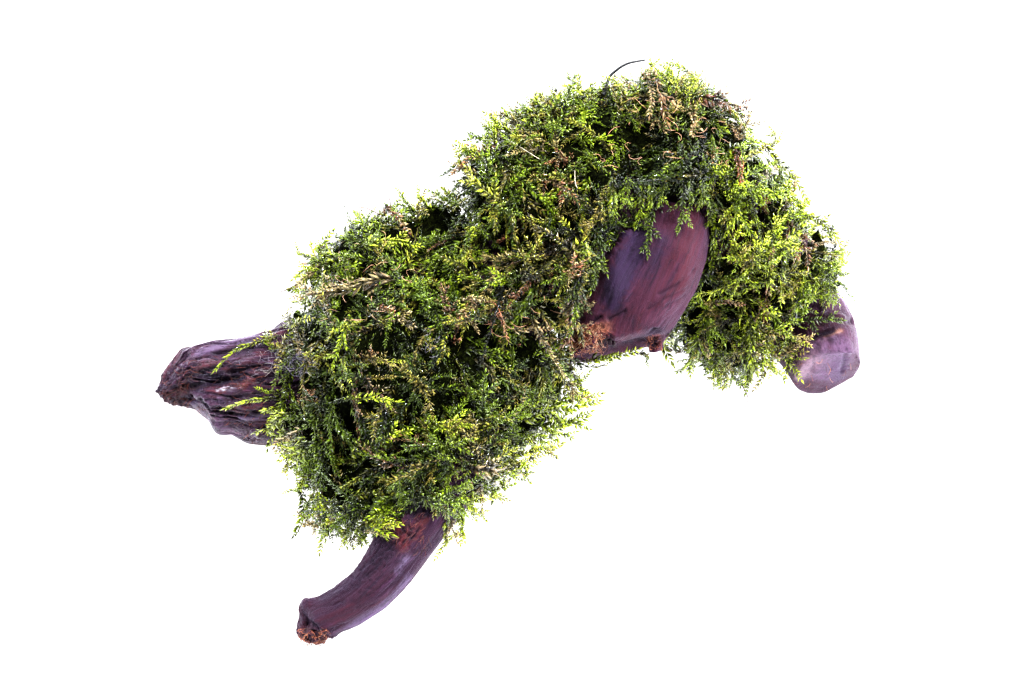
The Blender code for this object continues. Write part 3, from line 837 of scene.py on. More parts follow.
def frond_shape(seed, length, reach, leaf, twig_gap):
    """A flat frond along Y: points, triangles, a shade from 0 to 1 and a small colour shift."""
    draw = random.Random(seed)
    leaves = []
    twigs = []
    step = 0.34 * leaf

    def leaf_pairs(x, y, z, heading, run, size):
        travelled = 0.35
        while travelled < run:
            fade = 1 - 0.4 * travelled / run
            for side in (-1, 1):
                leaves.append((
                    x + math.sin(heading) * travelled, y + math.cos(heading) * travelled, z,
                    heading + side * math.radians(draw.uniform(24, 54)),
                    math.radians(draw.gauss(14, 18)), math.radians(draw.gauss(0, 28)),
                    size * fade * draw.uniform(0.75, 1.2),
                ))
            travelled += step * draw.uniform(0.8, 1.25)
        leaves.append((
            x + math.sin(heading) * run, y + math.cos(heading) * run, z, heading,
            math.radians(draw.gauss(5, 10)), 0.0, size * 0.75,
        ))

    leaf_pairs(0, 0, 0, 0, length, leaf)
    y = draw.uniform(0.8, 2.0)
    side = draw.choice((-1, 1))
    while y < length - 2.0:
        share = y / length
        run = reach * math.sin(math.pi * (0.22 + 0.7 * share)) ** 0.7 * draw.uniform(0.5, 1.2)
        if run > 1.4:
            heading = side * math.radians(draw.uniform(32, 58))
            z = draw.uniform(-0.15, 0.25)
            twigs.append((0, y, 0, heading, run))
            leaf_pairs(0, y, z, heading, run, leaf * 0.88)
        y += twig_gap * draw.uniform(0.6, 1.4)
        side = -side

    leaves = np.array(leaves)
    points, triangles, copies = repeated(LEAF, leaves[:, :3], leaves[:, 3], leaves[:, 4],
                                         leaves[:, 5], leaves[:, 6:7] * np.ones(3))
    rng = np.random.default_rng(seed)
    tip = np.tile(LEAF[0][:, 1], len(leaves))
    side_shift = np.tile(LEAF[0][:, 0] * 0.05, len(leaves))
    outward = np.clip(np.hypot(points[:, 0], points[:, 1]) / length, 0, 1)
    # Leaves darken toward their base and toward the frond's root: painted shade deep in the moss,
    # partly its darker older growth.
    shade = 0.10 + 0.30 * tip + 0.42 * outward + rng.normal(0, 0.15, len(leaves))[copies]
    shift = rng.normal(0, 0.022, len(leaves))[copies] + side_shift
    parts = [(points, triangles, shade, shift)]
    thin = 0.13
    if twigs:
        twigs = np.array(twigs)
        runs = twigs[:, 4:5]
        sizes = np.hstack([np.full_like(runs, thin * 0.8), runs, np.full_like(runs, thin * 0.8)])
        still = np.zeros(len(twigs))
        points, triangles, _ = repeated(TWIG, twigs[:, :3], twigs[:, 3], still, still, sizes)
        parts.append((points, triangles, np.full(len(points), 0.25), points[:, 2] * 0.05))
    points = STEM[0] * np.array([thin, length, thin])
    # The stem too darkens toward its root: painted shade.
    parts.append((points, STEM[1], 0.15 + 0.25 * STEM[0][:, 1], points[:, 2] * 0.05))
    return joined(parts)


def joined(parts):
    """Several (points, triangles, ...) as one."""
    starts = np.cumsum([0] + [len(part[0]) for part in parts[:-1]])
    triangles = np.vstack([part[1] + start for part, start in zip(parts, starts)])
    rest = [np.concatenate(column) for column in list(zip(*parts))[2:]]
    return (np.vstack([part[0] for part in parts]), triangles, *rest)


FROND_SIZES = (
    # length, reach of the side twigs, leaf length, gap between twigs
    (14.0, 4.5, 2.0, 3.2), (11.5, 4.0, 1.8, 2.8), (9.5, 4.0, 1.6, 2.3), (15.5, 4.0, 2.2, 3.8),
    (8.5, 3.5, 1.6, 2.1), (12.5, 5.0, 2.0, 3.4), (11.0, 0.0, 2.1, 9.0), (14.0, 0.0, 2.3, 9.0),
    (7.5, 3.0, 1.5, 1.9), (14.5, 3.5, 1.8, 3.3), (16.0, 0.0, 1.9, 9.0),
)
fronds = [(sizes[0], sizes[1], frond_shape(40 + number, *sizes))
          for number, sizes in enumerate(FROND_SIZES)]
print("frond triangles:", [len(shape[1]) for _, _, shape in fronds])

# %% [markdown]
# ## Bending a frond along a path
# A frond leaves the mat, rises a little, lies over and hangs under its own weight. Its path is
# a short curve with nine points. Each point of the flat frond keeps its place across the
# path, so the whole feather bends with it. Paths are pushed clear of the wood and the ground
# first, so that fronds lie over the wood and not in it.

# %% Paths and bending
STEPS = 9
DOWN = np.array([0.0, 0.0, -1.0])
MOSS_TOP = 76.0


def unit(vector):
    return vector / (np.linalg.norm(vector) + 1e-12)


def bent(points, length, path, outward):
    """Points of a straight shape along Y, laid along a path with its flat side outward."""
    tangents = np.gradient(path, axis=0)
    tangents /= np.linalg.norm(tangents, axis=1)[:, None]
    ups = outward - (tangents @ outward)[:, None] * tangents
    ups /= np.linalg.norm(ups, axis=1)[:, None] + 1e-9
    sides = np.cross(tangents, ups)
    where = np.clip(points[:, 1] / length, 0, 1) * (len(path) - 1)
    low = np.minimum(where.astype(int), len(path) - 2)
    share = (where - low)[:, None]

    def mixed(rows):
        return rows[low] * (1 - share) + rows[low + 1] * share

    beyond = (points[:, 1] - np.clip(points[:, 1], 0, length))[:, None]
    return (mixed(path) + mixed(sides) * points[:, 0:1] + mixed(ups) * points[:, 2:3]
            + mixed(tangents) * beyond)


def settled(points):
    """The points with those above the moss's height laid over."""
    above = np.maximum(points[:, 2] - MOSS_TOP, 0)
    points[:, 2] -= above * above / (above + 1.5)
    return points


def cleared(path, room=0.7):
    """The path pushed out of the wood and off the ground."""
    path = path.copy()
    for index in range(1, len(path)):
        place = Vector(path[index])
        near, normal, _, away = wood_tree.find_nearest(place)
        if (place - near).dot(normal) < 0 or away < room:
            path[index] = near + normal * room
    path[:, 2] = np.maximum(path[:, 2], 0.6)
    return path


def growing_path(root, outward, heading, length, rise, curl, droop, sway):
    """A frond's path: up out of the mat, over, and down."""
    s = np.linspace(0, length, STEPS)[:, None]
    start = outward * rise + heading * math.sqrt(1 - rise**2)
    side = np.cross(start, outward)
    return (root + start * s - outward * (0.5 * curl * s**2) + DOWN * (0.5 * droop * s**2)
            + side * (sway * np.sin(2.2 * s / length)))


# %% [markdown]
# ## The colours of moss
# Moss runs from nearly black-green through fresh green to yellow-green tips, with olive, straw
# and reddish dead fronds among them. Each frond gets a tone, from 0 to 1, and each leaf a
# shade. The shade is painted shade: darker at the base of each leaf, toward each frond's root and
# in the hollows, partly the moss's darker older growth. Both are written into the UV map, which
# the finish reads as a chart: tone across, shade up. A wet coat gives the small glints.

# %% Moss finish
def moss_finish():
    made, tree, shader = new_finish("wet_java_moss", Roughness=0.45, Coat_Weight=0.65,
                                    Coat_Roughness=0.05)
    shader.inputs["Specular IOR Level"].default_value = 0.4
    chart = node_of(tree, "ShaderNodeUVMap", uv_map="OFBake").outputs["UV"]
    axes = node_of(tree, "ShaderNodeSeparateXYZ", {"Vector": chart})
    tone = ramp_of(tree, axes.outputs["X"], (
        (0.02, (0.036, 0.060, 0.004)), (0.20, (0.105, 0.155, 0.006)),
        (0.40, (0.220, 0.300, 0.008)), (0.56, (0.370, 0.470, 0.014)),
        (0.68, (0.520, 0.590, 0.048)), (0.78, (0.240, 0.190, 0.030)),
        (0.88, (0.560, 0.440, 0.210)), (0.97, (0.270, 0.095, 0.040)),
    ))
    shade = ramp_of(tree, axes.outputs["Y"],
                    ((0.08, 0.012), (0.30, 0.13), (0.58, 0.60), (0.82, 1.0)))
    colour = blend_of(tree, 1.0, tone, shade, "MULTIPLY")
    tree.links.new(colour, shader.inputs["Base Color"])
    return made


MOSS_FINISH = moss_finish()

# %% [markdown]
# ## Where the colours lie
# The moss isn't one green. It is yellower and brighter on the right and along the crest, partly
# its own colour and partly painted light where these face the lamp, deep green and darker in the
# hollows of the left mound, which is painted shade, and bronze in a patch left of the middle. A
# handful of soft spots, placed where they are seen, shift the tone of the fronds that grow there.

# %% Tone of a place
TONE_AND_LIGHT_SPOTS = [
    # picture place, reach in mm, shift of tone, share of olive fronds, share of dead fronds
    # The first three brighten the right mound and the crest: partly their own yellower colour, partly
    # painted light.
    (780, 250, 20, 0.26, 0.00, 0.03),
    (745, 330, 14, 0.18, 0.00, 0.04),
    (600, 105, 12, 0.20, 0.00, 0.02),
    (700, 100, 10, 0.05, 0.10, 0.22),
    (545, 250, 13, 0.00, 0.45, 0.06),
    (650, 190, 12, -0.12, 0.05, 0.02),
    (350, 295, 8, 0.08, 0.15, 0.30),
    (430, 260, 12, 0.10, 0.10, 0.03),
    # These three darken the middle of the left mound: painted shade.
    (400, 460, 13, -0.12, 0.02, 0.00),
    (370, 350, 9, -0.10, 0.05, 0.00),
    (400, 380, 26, -0.10, 0.05, 0.00),
    (320, 510, 11, 0.16, 0.02, 0.02),
    (480, 470, 11, 0.10, 0.15, 0.10),
    (560, 395, 10, 0.04, 0.15, 0.05),
]
tone_and_light_spots = [(path_over([(px, py)], [0])[0], *rest) for px, py, *rest in TONE_AND_LIGHT_SPOTS]


def tone_of(place, draw):
    """A frond's tone: the moss's own drift, the spots, and now and then a dead frond."""
    drift = 0.30 + 0.22 * noise.noise(Vector(place / 11)) + 0.10 * noise.noise(Vector(place / 4))
    olive, dead = 0.20, 0.03
    for middle, reach, shift, more_olive, more_dead in tone_and_light_spots:
        share = math.exp(-np.sum((place - middle) ** 2) / reach**2)
        drift += shift * share
        olive += more_olive * share
        dead += more_dead * share
    chance = draw.random()
    if chance < dead:
        return draw.uniform(0.84, 0.97)
    if chance < dead + olive:
        return draw.uniform(0.72, 0.80)
    return min(0.68, max(0.02, drift + draw.gauss(0, 0.07)))


# %% [markdown]
# ## Growing the moss
# Roots are scattered over each mat by area, in tufts that lean the same way with dark gaps
# between them, a little more densely on the sides that face the light, and not on the sides that face the wood or the neighbouring mat, where nobody would see
# a frond. All mats share one budget of triangles by their open area, so the moss is equally
# thick everywhere. A frond that would reach past the edge of the moss, or over the stub, is
# mostly left out. Where moss hides wood that lies in front of the mat, as at the root of the
# leg, a few dozen fronds are rooted on the wood itself. The fronds are then parted from front
# to back into pieces that stay light.

# %% Scatter the roots
def open_skin(node):
    """The mat's triangles, their smooth normals, and how much of each may carry fronds."""
    points, triangles = mats[node]
    corners = points[triangles]
    crosses = np.cross(corners[:, 1] - corners[:, 0], corners[:, 2] - corners[:, 0])
    areas = np.linalg.norm(crosses, axis=1) / 2
    normals = crosses / (2 * areas[:, None] + 1e-12)
    middles = corners.mean(axis=1)
    others = tree_of([other for other in MOSS if other != node])
    weights = areas * (1 + 0.3 * normals @ np.array([0.0, -0.5, 0.86]))
    weights *= 1 - 0.65 * hollow_at(middles)
    weights *= np.clip(0.85 + 1.4 * noise_at(middles / 4.5 + 30), 0.35, 1.8)
    for index, (middle, normal) in enumerate(zip(middles, normals)):
        middle, normal = Vector(middle), Vector(normal)
        for tree, reach in ((wood_tree, MAT_DEPTH + 2.4), (others, MAT_DEPTH + 1.4)):
            place, _, _, away = tree.find_nearest(middle)
            if away < reach and (place - middle).dot(normal) > 0.6 * away:
                weights[index] = 0
        if middle.z < 3 and normal.z < -0.5:
            weights[index] = 0
    smooth = np.zeros_like(points)
    for column in range(3):
        np.add.at(smooth, triangles[:, column], crosses)
    smooth /= np.linalg.norm(smooth, axis=1)[:, None] + 1e-12
    return corners, smooth[triangles], weights


def roots_on(skin, seed):
    """Endless random roots on an open skin, each with its outward direction."""
    corners, smooth, weights = skin
    rng = np.random.default_rng(seed)
    while True:
        for index in rng.choice(len(weights), size=500, p=weights / weights.sum()):
            share = rng.dirichlet((1, 1, 1))
            yield share @ corners[index], unit(share @ smooth[index])


def frond_at(root, outward, draw):
    """One frond growing from a root of the mat."""
    length, _, (points, triangles, shade, shift) = draw.choice(fronds)
    size = draw.uniform(0.75, 1.1)
    spin = draw.uniform(0, 2 * math.pi)
    across = unit(np.cross(outward, (0.31, 0.92, 0.21)))
    heading = across * math.cos(spin) + np.cross(outward, across) * math.sin(spin)
    tuft = np.array(noise.noise_vector(Vector(root / 8)))
    lean = 0.5 * DOWN + 2.2 * tuft
    heading = unit(heading + lean - (lean @ outward) * outward)
    rise = min(0.8, max(0.05, draw.gauss(0.30, 0.15)))
    path = growing_path(root - outward * 0.6, outward, heading, length * size, rise,
                        draw.uniform(0.02, 0.08), draw.uniform(0.0, 0.03), draw.gauss(0, 1.6))
    if draw.random() > 0.06:
        if not (inside(MOSS_EDGE, path[-1]) and inside(MOSS_EDGE, path[4])):
            return None
        if inside(STUB_EDGE, path[-1]):
            return None
    flat = unit(outward + 0.55 * np.array([draw.gauss(0, 1) for _ in range(3)]))
    # In a hollow the shade drops by up to a half: painted shade.
    return dressed(points * size, triangles, shade, shift, length * size, cleared(path), flat,
                   tone_of(root, draw), draw.gauss(0, 0.10) - 0.5 * hollow_at(root[None])[0])


def dressed(points, triangles, shade, shift, length, path, flat, tone, light):
    """A frond laid along its path, with its place on the chart of colours."""
    chart = np.stack([np.clip(tone + shift, 0.01, 0.99), np.clip(shade + light, 0.02, 0.98)],
                     axis=1)
    placed = bent(points, length, path, flat)
    placed[:, 2] = np.maximum(placed[:, 2], 0.05 * points[:, 1])
    return settled(placed), triangles, chart


# %% Grow the fronds
PATCHES = (
    # picture place, reach in the picture, how many fronds are rooted on what is seen there
    (448, 472, 34, 70), (480, 440, 22, 30), (424, 492, 20, 26), (470, 455, 20, 20),
    (520, 298, 22, 24), (600, 232, 22, 34), (584, 276, 16, 20), (574, 305, 10, 8),
    (740, 190, 20, 22), (505, 140, 28, 30), (530, 122, 20, 16), (345, 520, 26, 20),
    (375, 515, 18, 10), (300, 340, 16, 14), (835, 266, 14, 16), (700, 175, 18, 14),
)


def patch_fronds(px, py, reach, count, draw):
    """Fronds rooted within reach of a place of the picture."""
    made = []
    while len(made) < count:
        angle, away = draw.uniform(0, 2 * math.pi), reach * math.sqrt(draw.random())
        x, y = px + away * math.cos(angle), py + away * math.sin(angle)
        place, normal, _, _ = whole_tree.ray_cast(EYE, sight_line(x, y))
        part = place and frond_at(np.array(place), np.array(normal), draw)
        if part:
            made.append((place[1], part))
        elif draw.random() < 0.02:
            break
    return made


FROND_BUDGET = 725000
PIECE_LIMIT = 175000
skins = {node: open_skin(node) for node in MOSS}
whole_area = sum(skin[2].sum() for skin in skins.values())
for number, node in enumerate(MOSS):
    draw = random.Random(100 + number)
    share = FROND_BUDGET * skins[node][2].sum() / whole_area
    grown = []
    count = 0
    for root, outward in roots_on(skins[node], 20 + number):
        part = frond_at(root, outward, draw)
        if part is None:
            continue
        count += len(part[1])
        if count > share:
            break
        grown.append((root[1], part))
    if node == "moss_on_left":
        for patch in PATCHES:
            grown += patch_fronds(*patch, draw)
    grown.sort(key=lambda item: item[0])
    count = sum(len(part[1]) for _, part in grown)
    size = math.ceil(len(grown) / math.ceil(count / PIECE_LIMIT))
    for first in range(0, len(grown), size):
        points, triangles, chart = joined([part for _, part in grown[first:first + size]])
        piece_from(f"{node}_fronds_{first // size + 1}", points, triangles, MOSS_FINISH,
                   chart)
    print(f"{node}: {skins[node][2].sum():.0f} mm2 open, {len(grown)} fronds")

# %% [markdown]
# ## Sprigs with a place of their own
# Some sprigs are the first thing one sees: straw-coloured dead ones on the left mound, yellow
# strands that stand off the crest, a fringe that hangs over the stub, sprays over the edge.
# Each is laid along a few places of the picture. It starts on the moss or the wood that carries
# it, and what reaches past the edge goes on at the same distance from the camera. Others are
# strewn along the outline, so that the moss ends raggedly.

# %% Lay the sprigs
def evened(points, count):
    """A smooth path with equal steps through some points."""
    line = smooth_line(points, 0.5)
    along = np.concatenate([[0], np.cumsum(np.linalg.norm(np.diff(line, axis=0), axis=1))])
    even = np.linspace(0, along[-1], count)
    path = np.stack([np.interp(even, along, line[:, axis]) for axis in range(3)], axis=1)
    path[:, 2] = np.maximum(path[:, 2], 0.5)
    return path, along[-1]


def sprig(tone, kind, places, draw, lift=1.6):
    """A frond along places of the picture: full, narrow, or fine, which is narrower still."""
    lifts = [0.3] + [lift] * (len(places) - 1)
    path, run = evened(path_over(places, lifts), STEPS)
    choices = [item for item in fronds if (item[1] > 0) == (kind == "full")]
    length, _, (points, triangles, shade, shift) = min(choices, key=lambda item: abs(item[0] - run))
    wide = 0.55 if kind == "fine" else min(1.25, max(0.65, run / length))
    points = points * np.array([wide, run / length, wide])
    flat = unit(np.array(EYE) / 400 + 0.35 * np.array([draw.gauss(0, 1) for _ in range(3)]))
    return dressed(points, triangles, shade, shift, run, path, flat, tone, 0.05)


SPRIGS = (
    # tone, kind, places in the picture
    # over the bare left limb
    (0.63, "fine", ((282, 397), (264, 398), (246, 401), (229, 405))),
    (0.55, "fine", ((282, 392), (268, 392), (258, 388))),
    (0.60, "fine", ((270, 342), (248, 350), (233, 360), (219, 371))),
    (0.74, "narrow", ((280, 336), (268, 342), (256, 346))),
    # straw-coloured and rusty ones on the left mound
    (0.87, "full", ((395, 281), (370, 287), (345, 294), (318, 297))),
    (0.88, "full", ((350, 292), (325, 297), (292, 298))),
    (0.85, "narrow", ((372, 282), (352, 290), (330, 292))),
    (0.90, "full", ((484, 300), (474, 312), (477, 330))),
    (0.88, "narrow", ((462, 305), (476, 302), (490, 303))),
    (0.95, "fine", ((488, 305), (500, 318), (507, 334))),
    (0.89, "narrow", ((512, 329), (526, 327), (542, 326))),
    (0.95, "full", ((300, 405), (312, 398), (320, 388))),
    (0.94, "narrow", ((382, 208), (396, 222), (408, 236))),
    # bright green ones on the left mound
    (0.55, "full", ((353, 316), (346, 340), (338, 365))),
    (0.68, "narrow", ((343, 356), (350, 368), (358, 382))),
    (0.64, "narrow", ((463, 248), (466, 264), (464, 282))),
    (0.66, "full", ((482, 224), (478, 236), (470, 246))),
    (0.50, "full", ((325, 272), (345, 268), (362, 264))),
    (0.66, "full", ((360, 250), (385, 246), (420, 250))),
    (0.76, "full", ((555, 280), (572, 250), (591, 220))),
    (0.77, "full", ((520, 275), (532, 255), (545, 238))),
    (0.62, "full", ((345, 400), (372, 396), (398, 400))),
    (0.60, "full", ((350, 455), (378, 440), (410, 430))),
    (0.64, "full", ((420, 428), (445, 422), (470, 424))),
    # past the upper edge
    (0.45, "narrow", ((415, 214), (406, 202), (397, 190))),
    (0.60, "narrow", ((432, 212), (424, 202), (421, 192))),
    (0.74, "narrow", ((478, 178), (466, 163), (454, 148))),
    (0.62, "narrow", ((310, 258), (298, 252), (296, 244))),
    (0.66, "narrow", ((508, 128), (498, 122), (486, 126))),
    (0.68, "full", ((590, 105), (580, 97), (566, 92))),
    (0.70, "full", ((690, 85), (694, 75), (702, 70))),
    (0.66, "full", ((640, 80), (650, 68), (658, 60))),
    # rusty and straw-coloured on the crest
    (0.94, "full", ((652, 70), (658, 90), (666, 122))),
    (0.90, "narrow", ((645, 76), (652, 96), (650, 116))),
    (0.96, "full", ((700, 96), (718, 104), (742, 114))),
    (0.97, "narrow", ((736, 150), (734, 165), (738, 182))),
    (0.93, "narrow", ((714, 304), (726, 301), (741, 303))),
    (0.86, "full", ((548, 152), (530, 155), (512, 160))),
    # strands that stand off on the right
    (0.68, "narrow", ((760, 142), (775, 158), (790, 178), (807, 200))),
    (0.66, "narrow", ((766, 160), (780, 174), (794, 196))),
    (0.62, "narrow", ((798, 214), (822, 222), (840, 242), (842, 260))),
    (0.64, "narrow", ((803, 232), (820, 238), (834, 234))),
    (0.66, "narrow", ((812, 262), (828, 262), (844, 264))),
    (0.68, "full", ((770, 150), (776, 138), (770, 128))),
    # hanging below on the right
    (0.58, "full", ((700, 345), (712, 362), (722, 380))),
    (0.45, "narrow", ((742, 350), (750, 372), (746, 392))),
    (0.62, "full", ((672, 330), (668, 345), (676, 356))),
    (0.60, "full", ((758, 345), (768, 362), (782, 372))),
    # hanging below on the left
    (0.55, "narrow", ((300, 480), (303, 510), (294, 537))),
    (0.68, "narrow", ((326, 505), (324, 530), (320, 552))),
    (0.66, "full", ((345, 500), (352, 520), (362, 538))),
    (0.62, "full", ((318, 490), (322, 508), (332, 524))),
    (0.64, "full", ((380, 505), (372, 522), (366, 536))),
    (0.58, "full", ((336, 496), (338, 516), (344, 536))),
    (0.54, "full", ((356, 504), (360, 522), (368, 544))),
    (0.60, "narrow", ((370, 512), (378, 528), (388, 540))),
    (0.66, "full", ((306, 500), (312, 516), (316, 534))),
    (0.50, "full", ((392, 500), (390, 516), (382, 534))),
    (0.62, "full", ((286, 420), (280, 434), (284, 450))),
    (0.66, "full", ((282, 398), (274, 410), (272, 424))),
    (0.66, "full", ((300, 448), (296, 468), (300, 488))),
    # over the root of the leg and beside the stub; the dark tones over the leg's root are painted
    # shade under the moss
    (0.30, "full", ((400, 470), (404, 488), (402, 506))),
    (0.20, "full", ((418, 466), (416, 484), (410, 502))),
    (0.15, "full", ((436, 462), (432, 478), (428, 496))),
    (0.50, "full", ((452, 462), (448, 480), (440, 500))),
    (0.55, "full", ((392, 484), (392, 500), (386, 518))),
    (0.35, "narrow", ((424, 480), (418, 494), (408, 508))),
    (0.10, "full", ((444, 455), (444, 468), (436, 484))),
    (0.60, "full", ((468, 468), (462, 486), (450, 506))),
    (0.66, "full", ((470, 480), (466, 498), (456, 516))),
    (0.15, "full", ((588, 225), (596, 240), (598, 258))),
    (0.25, "full", ((580, 240), (590, 262), (588, 286))),
    (0.45, "narrow", ((600, 205), (606, 222), (604, 240))),
    (0.10, "full", ((570, 268), (578, 288), (574, 310))),
    (0.30, "full", ((606, 196), (612, 208), (612, 224))),
    (0.55, "full", ((706, 205), (712, 222), (708, 244))),
    (0.30, "full", ((716, 230), (716, 250), (706, 270))),
    (0.40, "full", ((708, 262), (704, 282), (692, 300))),
    # under the torn end of the stub
    (0.62, "narrow", ((566, 350), (588, 356), (610, 349))),
    (0.64, "narrow", ((590, 358), (612, 351), (636, 343))),
    (0.72, "fine", ((574, 362), (598, 360), (620, 348))),
    (0.50, "narrow", ((640, 352), (646, 356), (648, 366))),
    (0.76, "fine", ((628, 352), (644, 347), (650, 352))),
    # sprays beside the leg
    (0.60, "full", ((520, 420), (545, 412), (572, 408), (598, 401))),
    (0.56, "full", ((530, 408), (552, 398), (580, 390))),
    (0.62, "narrow", ((548, 402), (572, 400), (600, 394))),
    (0.54, "full", ((512, 446), (540, 438), (575, 432))),
    (0.60, "full", ((520, 435), (548, 428), (584, 418))),
    (0.58, "full", ((535, 425), (560, 424), (590, 412))),
    (0.66, "narrow", ((508, 455), (530, 452), (560, 444))),
    (0.74, "full", ((498, 470), (525, 462), (560, 446))),
    (0.56, "full", ((490, 478), (512, 472), (538, 462))),
    (0.50, "full", ((478, 490), (494, 490), (514, 484))),
    (0.62, "full", ((505, 460), (520, 470), (530, 482))),
    (0.88, "full", ((470, 470), (492, 474), (512, 468))),
    (0.66, "full", ((452, 505), (456, 522), (448, 540))),
    (0.68, "narrow", ((446, 520), (440, 540), (436, 558))),
    (0.64, "full", ((462, 500), (474, 508), (486, 520))),
    (0.72, "narrow", ((478, 488), (492, 496), (508, 500))),
    (0.60, "full", ((560, 385), (575, 380), (590, 372))),
    (0.66, "full", ((545, 395), (560, 402), (570, 412))),
)
FRINGE = ((612, 192, 24), (626, 190, 12), (643, 194, 34), (652, 196, 20), (664, 192, 10),
          (683, 196, 36), (690, 194, 24), (702, 192, 14), (712, 215, 20), (712, 245, 18))
EDGES = (
    # how many, and a stretch of the outline in the picture, with the moss on its right
    (16, ((456, 168), (462, 142), (480, 124), (506, 110), (540, 100))),
    (10, ((540, 99), (566, 91), (604, 84), (642, 70), (668, 65), (702, 76))),
    (12, ((700, 76), (732, 98), (756, 136), (770, 160), (788, 184))),
    (12, ((788, 182), (806, 206), (828, 226), (844, 246), (846, 264))),
    (6, ((815, 335), (804, 358), (786, 378))),
    (14, ((760, 386), (740, 388), (718, 380), (690, 364), (668, 344))),
    (8, ((594, 392), (582, 408), (560, 434), (530, 458), (510, 482))),
    (8, ((508, 484), (490, 508), (470, 526), (452, 545))),
    (20, ((402, 514), (386, 538), (360, 546), (322, 544), (298, 520), (289, 488))),
    (8, ((291, 468), (279, 446), (268, 425))),
    (14, ((292, 308), (299, 290), (298, 276), (310, 254), (332, 234))),
    (10, ((332, 234), (366, 213), (398, 201), (432, 200), (454, 189))),
)


def edging(stretch, draw):
    """Places of a sprig that reaches over a stretch of the outline from within."""
    start, end = draw.choice(list(zip(stretch, stretch[1:])))
    share = draw.random()
    x, y = (a + share * (b - a) for a, b in zip(start, end))
    run = math.hypot(end[0] - start[0], end[1] - start[1])
    ax, ay = (end[0] - start[0]) / run, (end[1] - start[1]) / run
    made = []
    slide = draw.gauss(0, 14)
    for out, along in ((-draw.uniform(20, 34), slide), (-10, 0.45 * slide), (draw.uniform(-4, 7), 0)):
        made.append((x + out * ay + along * ax, y - out * ax + along * ay))
    return made


draw = random.Random(77)
laid = [sprig(tone, kind, places, draw) for tone, kind, places in SPRIGS]
for count, stretch in EDGES:
    for number in range(count):
        kind = ("narrow", "full", "fine")[number % 3]
        tone = draw.choice((0.25, 0.40, 0.50, 0.58, 0.64, 0.67, 0.76, 0.88))
        laid.append(sprig(tone, kind, edging(stretch, draw), draw))
for number, (px, py, drop) in enumerate(FRINGE):
    lean = draw.uniform(-7, 5)
    places = ((px, py - 14), (px + 0.4 * lean, py + 0.3 * drop), (px + lean, py + drop))
    kind = "full" if number % 3 else "narrow"
    laid.append(sprig(draw.uniform(0.25, 0.60), kind, places, draw, 1.2))
points, triangles, chart = joined(laid)
piece_from("placed_sprigs", points, triangles, MOSS_FINISH, chart)

# %% [markdown]
# ## Threads and torn fibres
# Where the wood is torn it ends in a fringe of fine curly fibres, tan and rusty on the stub, red
# on the leg and dark at its grainy end. Thin roots and old stems lie on the moss: a black wiry one
# over the crest, a pale one at its left, and grey-violet hairs where the left limb goes under.
# All are thin rods, bent along short paths, with a chart of colours like that of the moss.

# %% Lay the threads and fibres
def fibre_finish():
    made, tree, shader = new_finish("fine_fibres", Roughness=0.55)
    chart = node_of(tree, "ShaderNodeUVMap", uv_map="OFBake").outputs["UV"]
    axes = node_of(tree, "ShaderNodeSeparateXYZ", {"Vector": chart})
    tone = ramp_of(tree, axes.outputs["X"], (
        (0.03, (0.004, 0.004, 0.006)), (0.18, (0.060, 0.020, 0.018)),
        (0.35, (0.24, 0.050, 0.030)), (0.50, (0.60, 0.22, 0.100)),
        (0.65, (0.68, 0.40, 0.26)), (0.80, (0.62, 0.55, 0.42)), (0.95, (0.15, 0.13, 0.20)),
    ))
    shade = ramp_of(tree, axes.outputs["Y"], ((0.1, 0.35), (0.8, 1.0)))
    colour = blend_of(tree, 1.0, tone, shade, "MULTIPLY")
    tree.links.new(colour, shader.inputs["Base Color"])
    return made


FIBRE_FINISH = fibre_finish()


def thread(places, lifts, radius, tone, shape=THREAD, tree=whole_tree):
    """A thin rod along places of the picture."""
    path, run = evened(path_over(places, lifts, tree), 12 if shape is THREAD else 5)
    points = shape[0] * np.array([radius, run, radius])
    # Up the chart each rod darkens toward its start: painted shade where it leaves the wood or moss.
    chart = np.stack([np.full(len(points), tone), 0.1 + 0.8 * shape[0][:, 1]], axis=1)
    placed = bent(points, run, path, np.array([0.1, -0.63, 0.77]))
    return settled(placed), shape[1], chart


THREADS = (
    # radius, tone, places in the picture
    (0.45, 0.02, ((604, 96), (607, 84), (613, 73), (626, 64), (645, 60))),
    (0.13, 0.80, ((480, 122), (496, 133), (512, 147), (538, 166))),
    (0.13, 0.80, ((574, 170), (577, 182), (576, 194))),
    (0.15, 0.18, ((300, 283), (288, 289), (275, 294))),
    (0.14, 0.60, ((307, 264), (296, 262), (283, 261))),
    (0.14, 0.16, ((392, 210), (391, 204), (388, 199))),
    (0.13, 0.22, ((380, 216), (362, 214), (347, 218))),
    (0.20, 0.10, ((304, 505), (303, 520), (296, 536))),
    (0.24, 0.03, ((322, 510), (327, 524), (330, 540))),
    (0.10, 0.70, ((344, 530), (343, 548), (340, 565))),
    (0.14, 0.62, ((470, 480), (486, 492), (510, 506))),
    (0.10, 0.75, ((446, 545), (464, 546), (484, 547))),
    (0.13, 0.30, ((498, 462), (504, 478), (512, 490))),
    (0.14, 0.40, ((735, 150), (737, 165), (733, 182))),
    (0.12, 0.20, ((820, 225), (812, 212), (798, 206))),
    (0.14, 0.12, ((742, 385), (748, 398), (745, 408))),
    (0.12, 0.50, ((484, 303), (496, 308), (506, 332))),
)
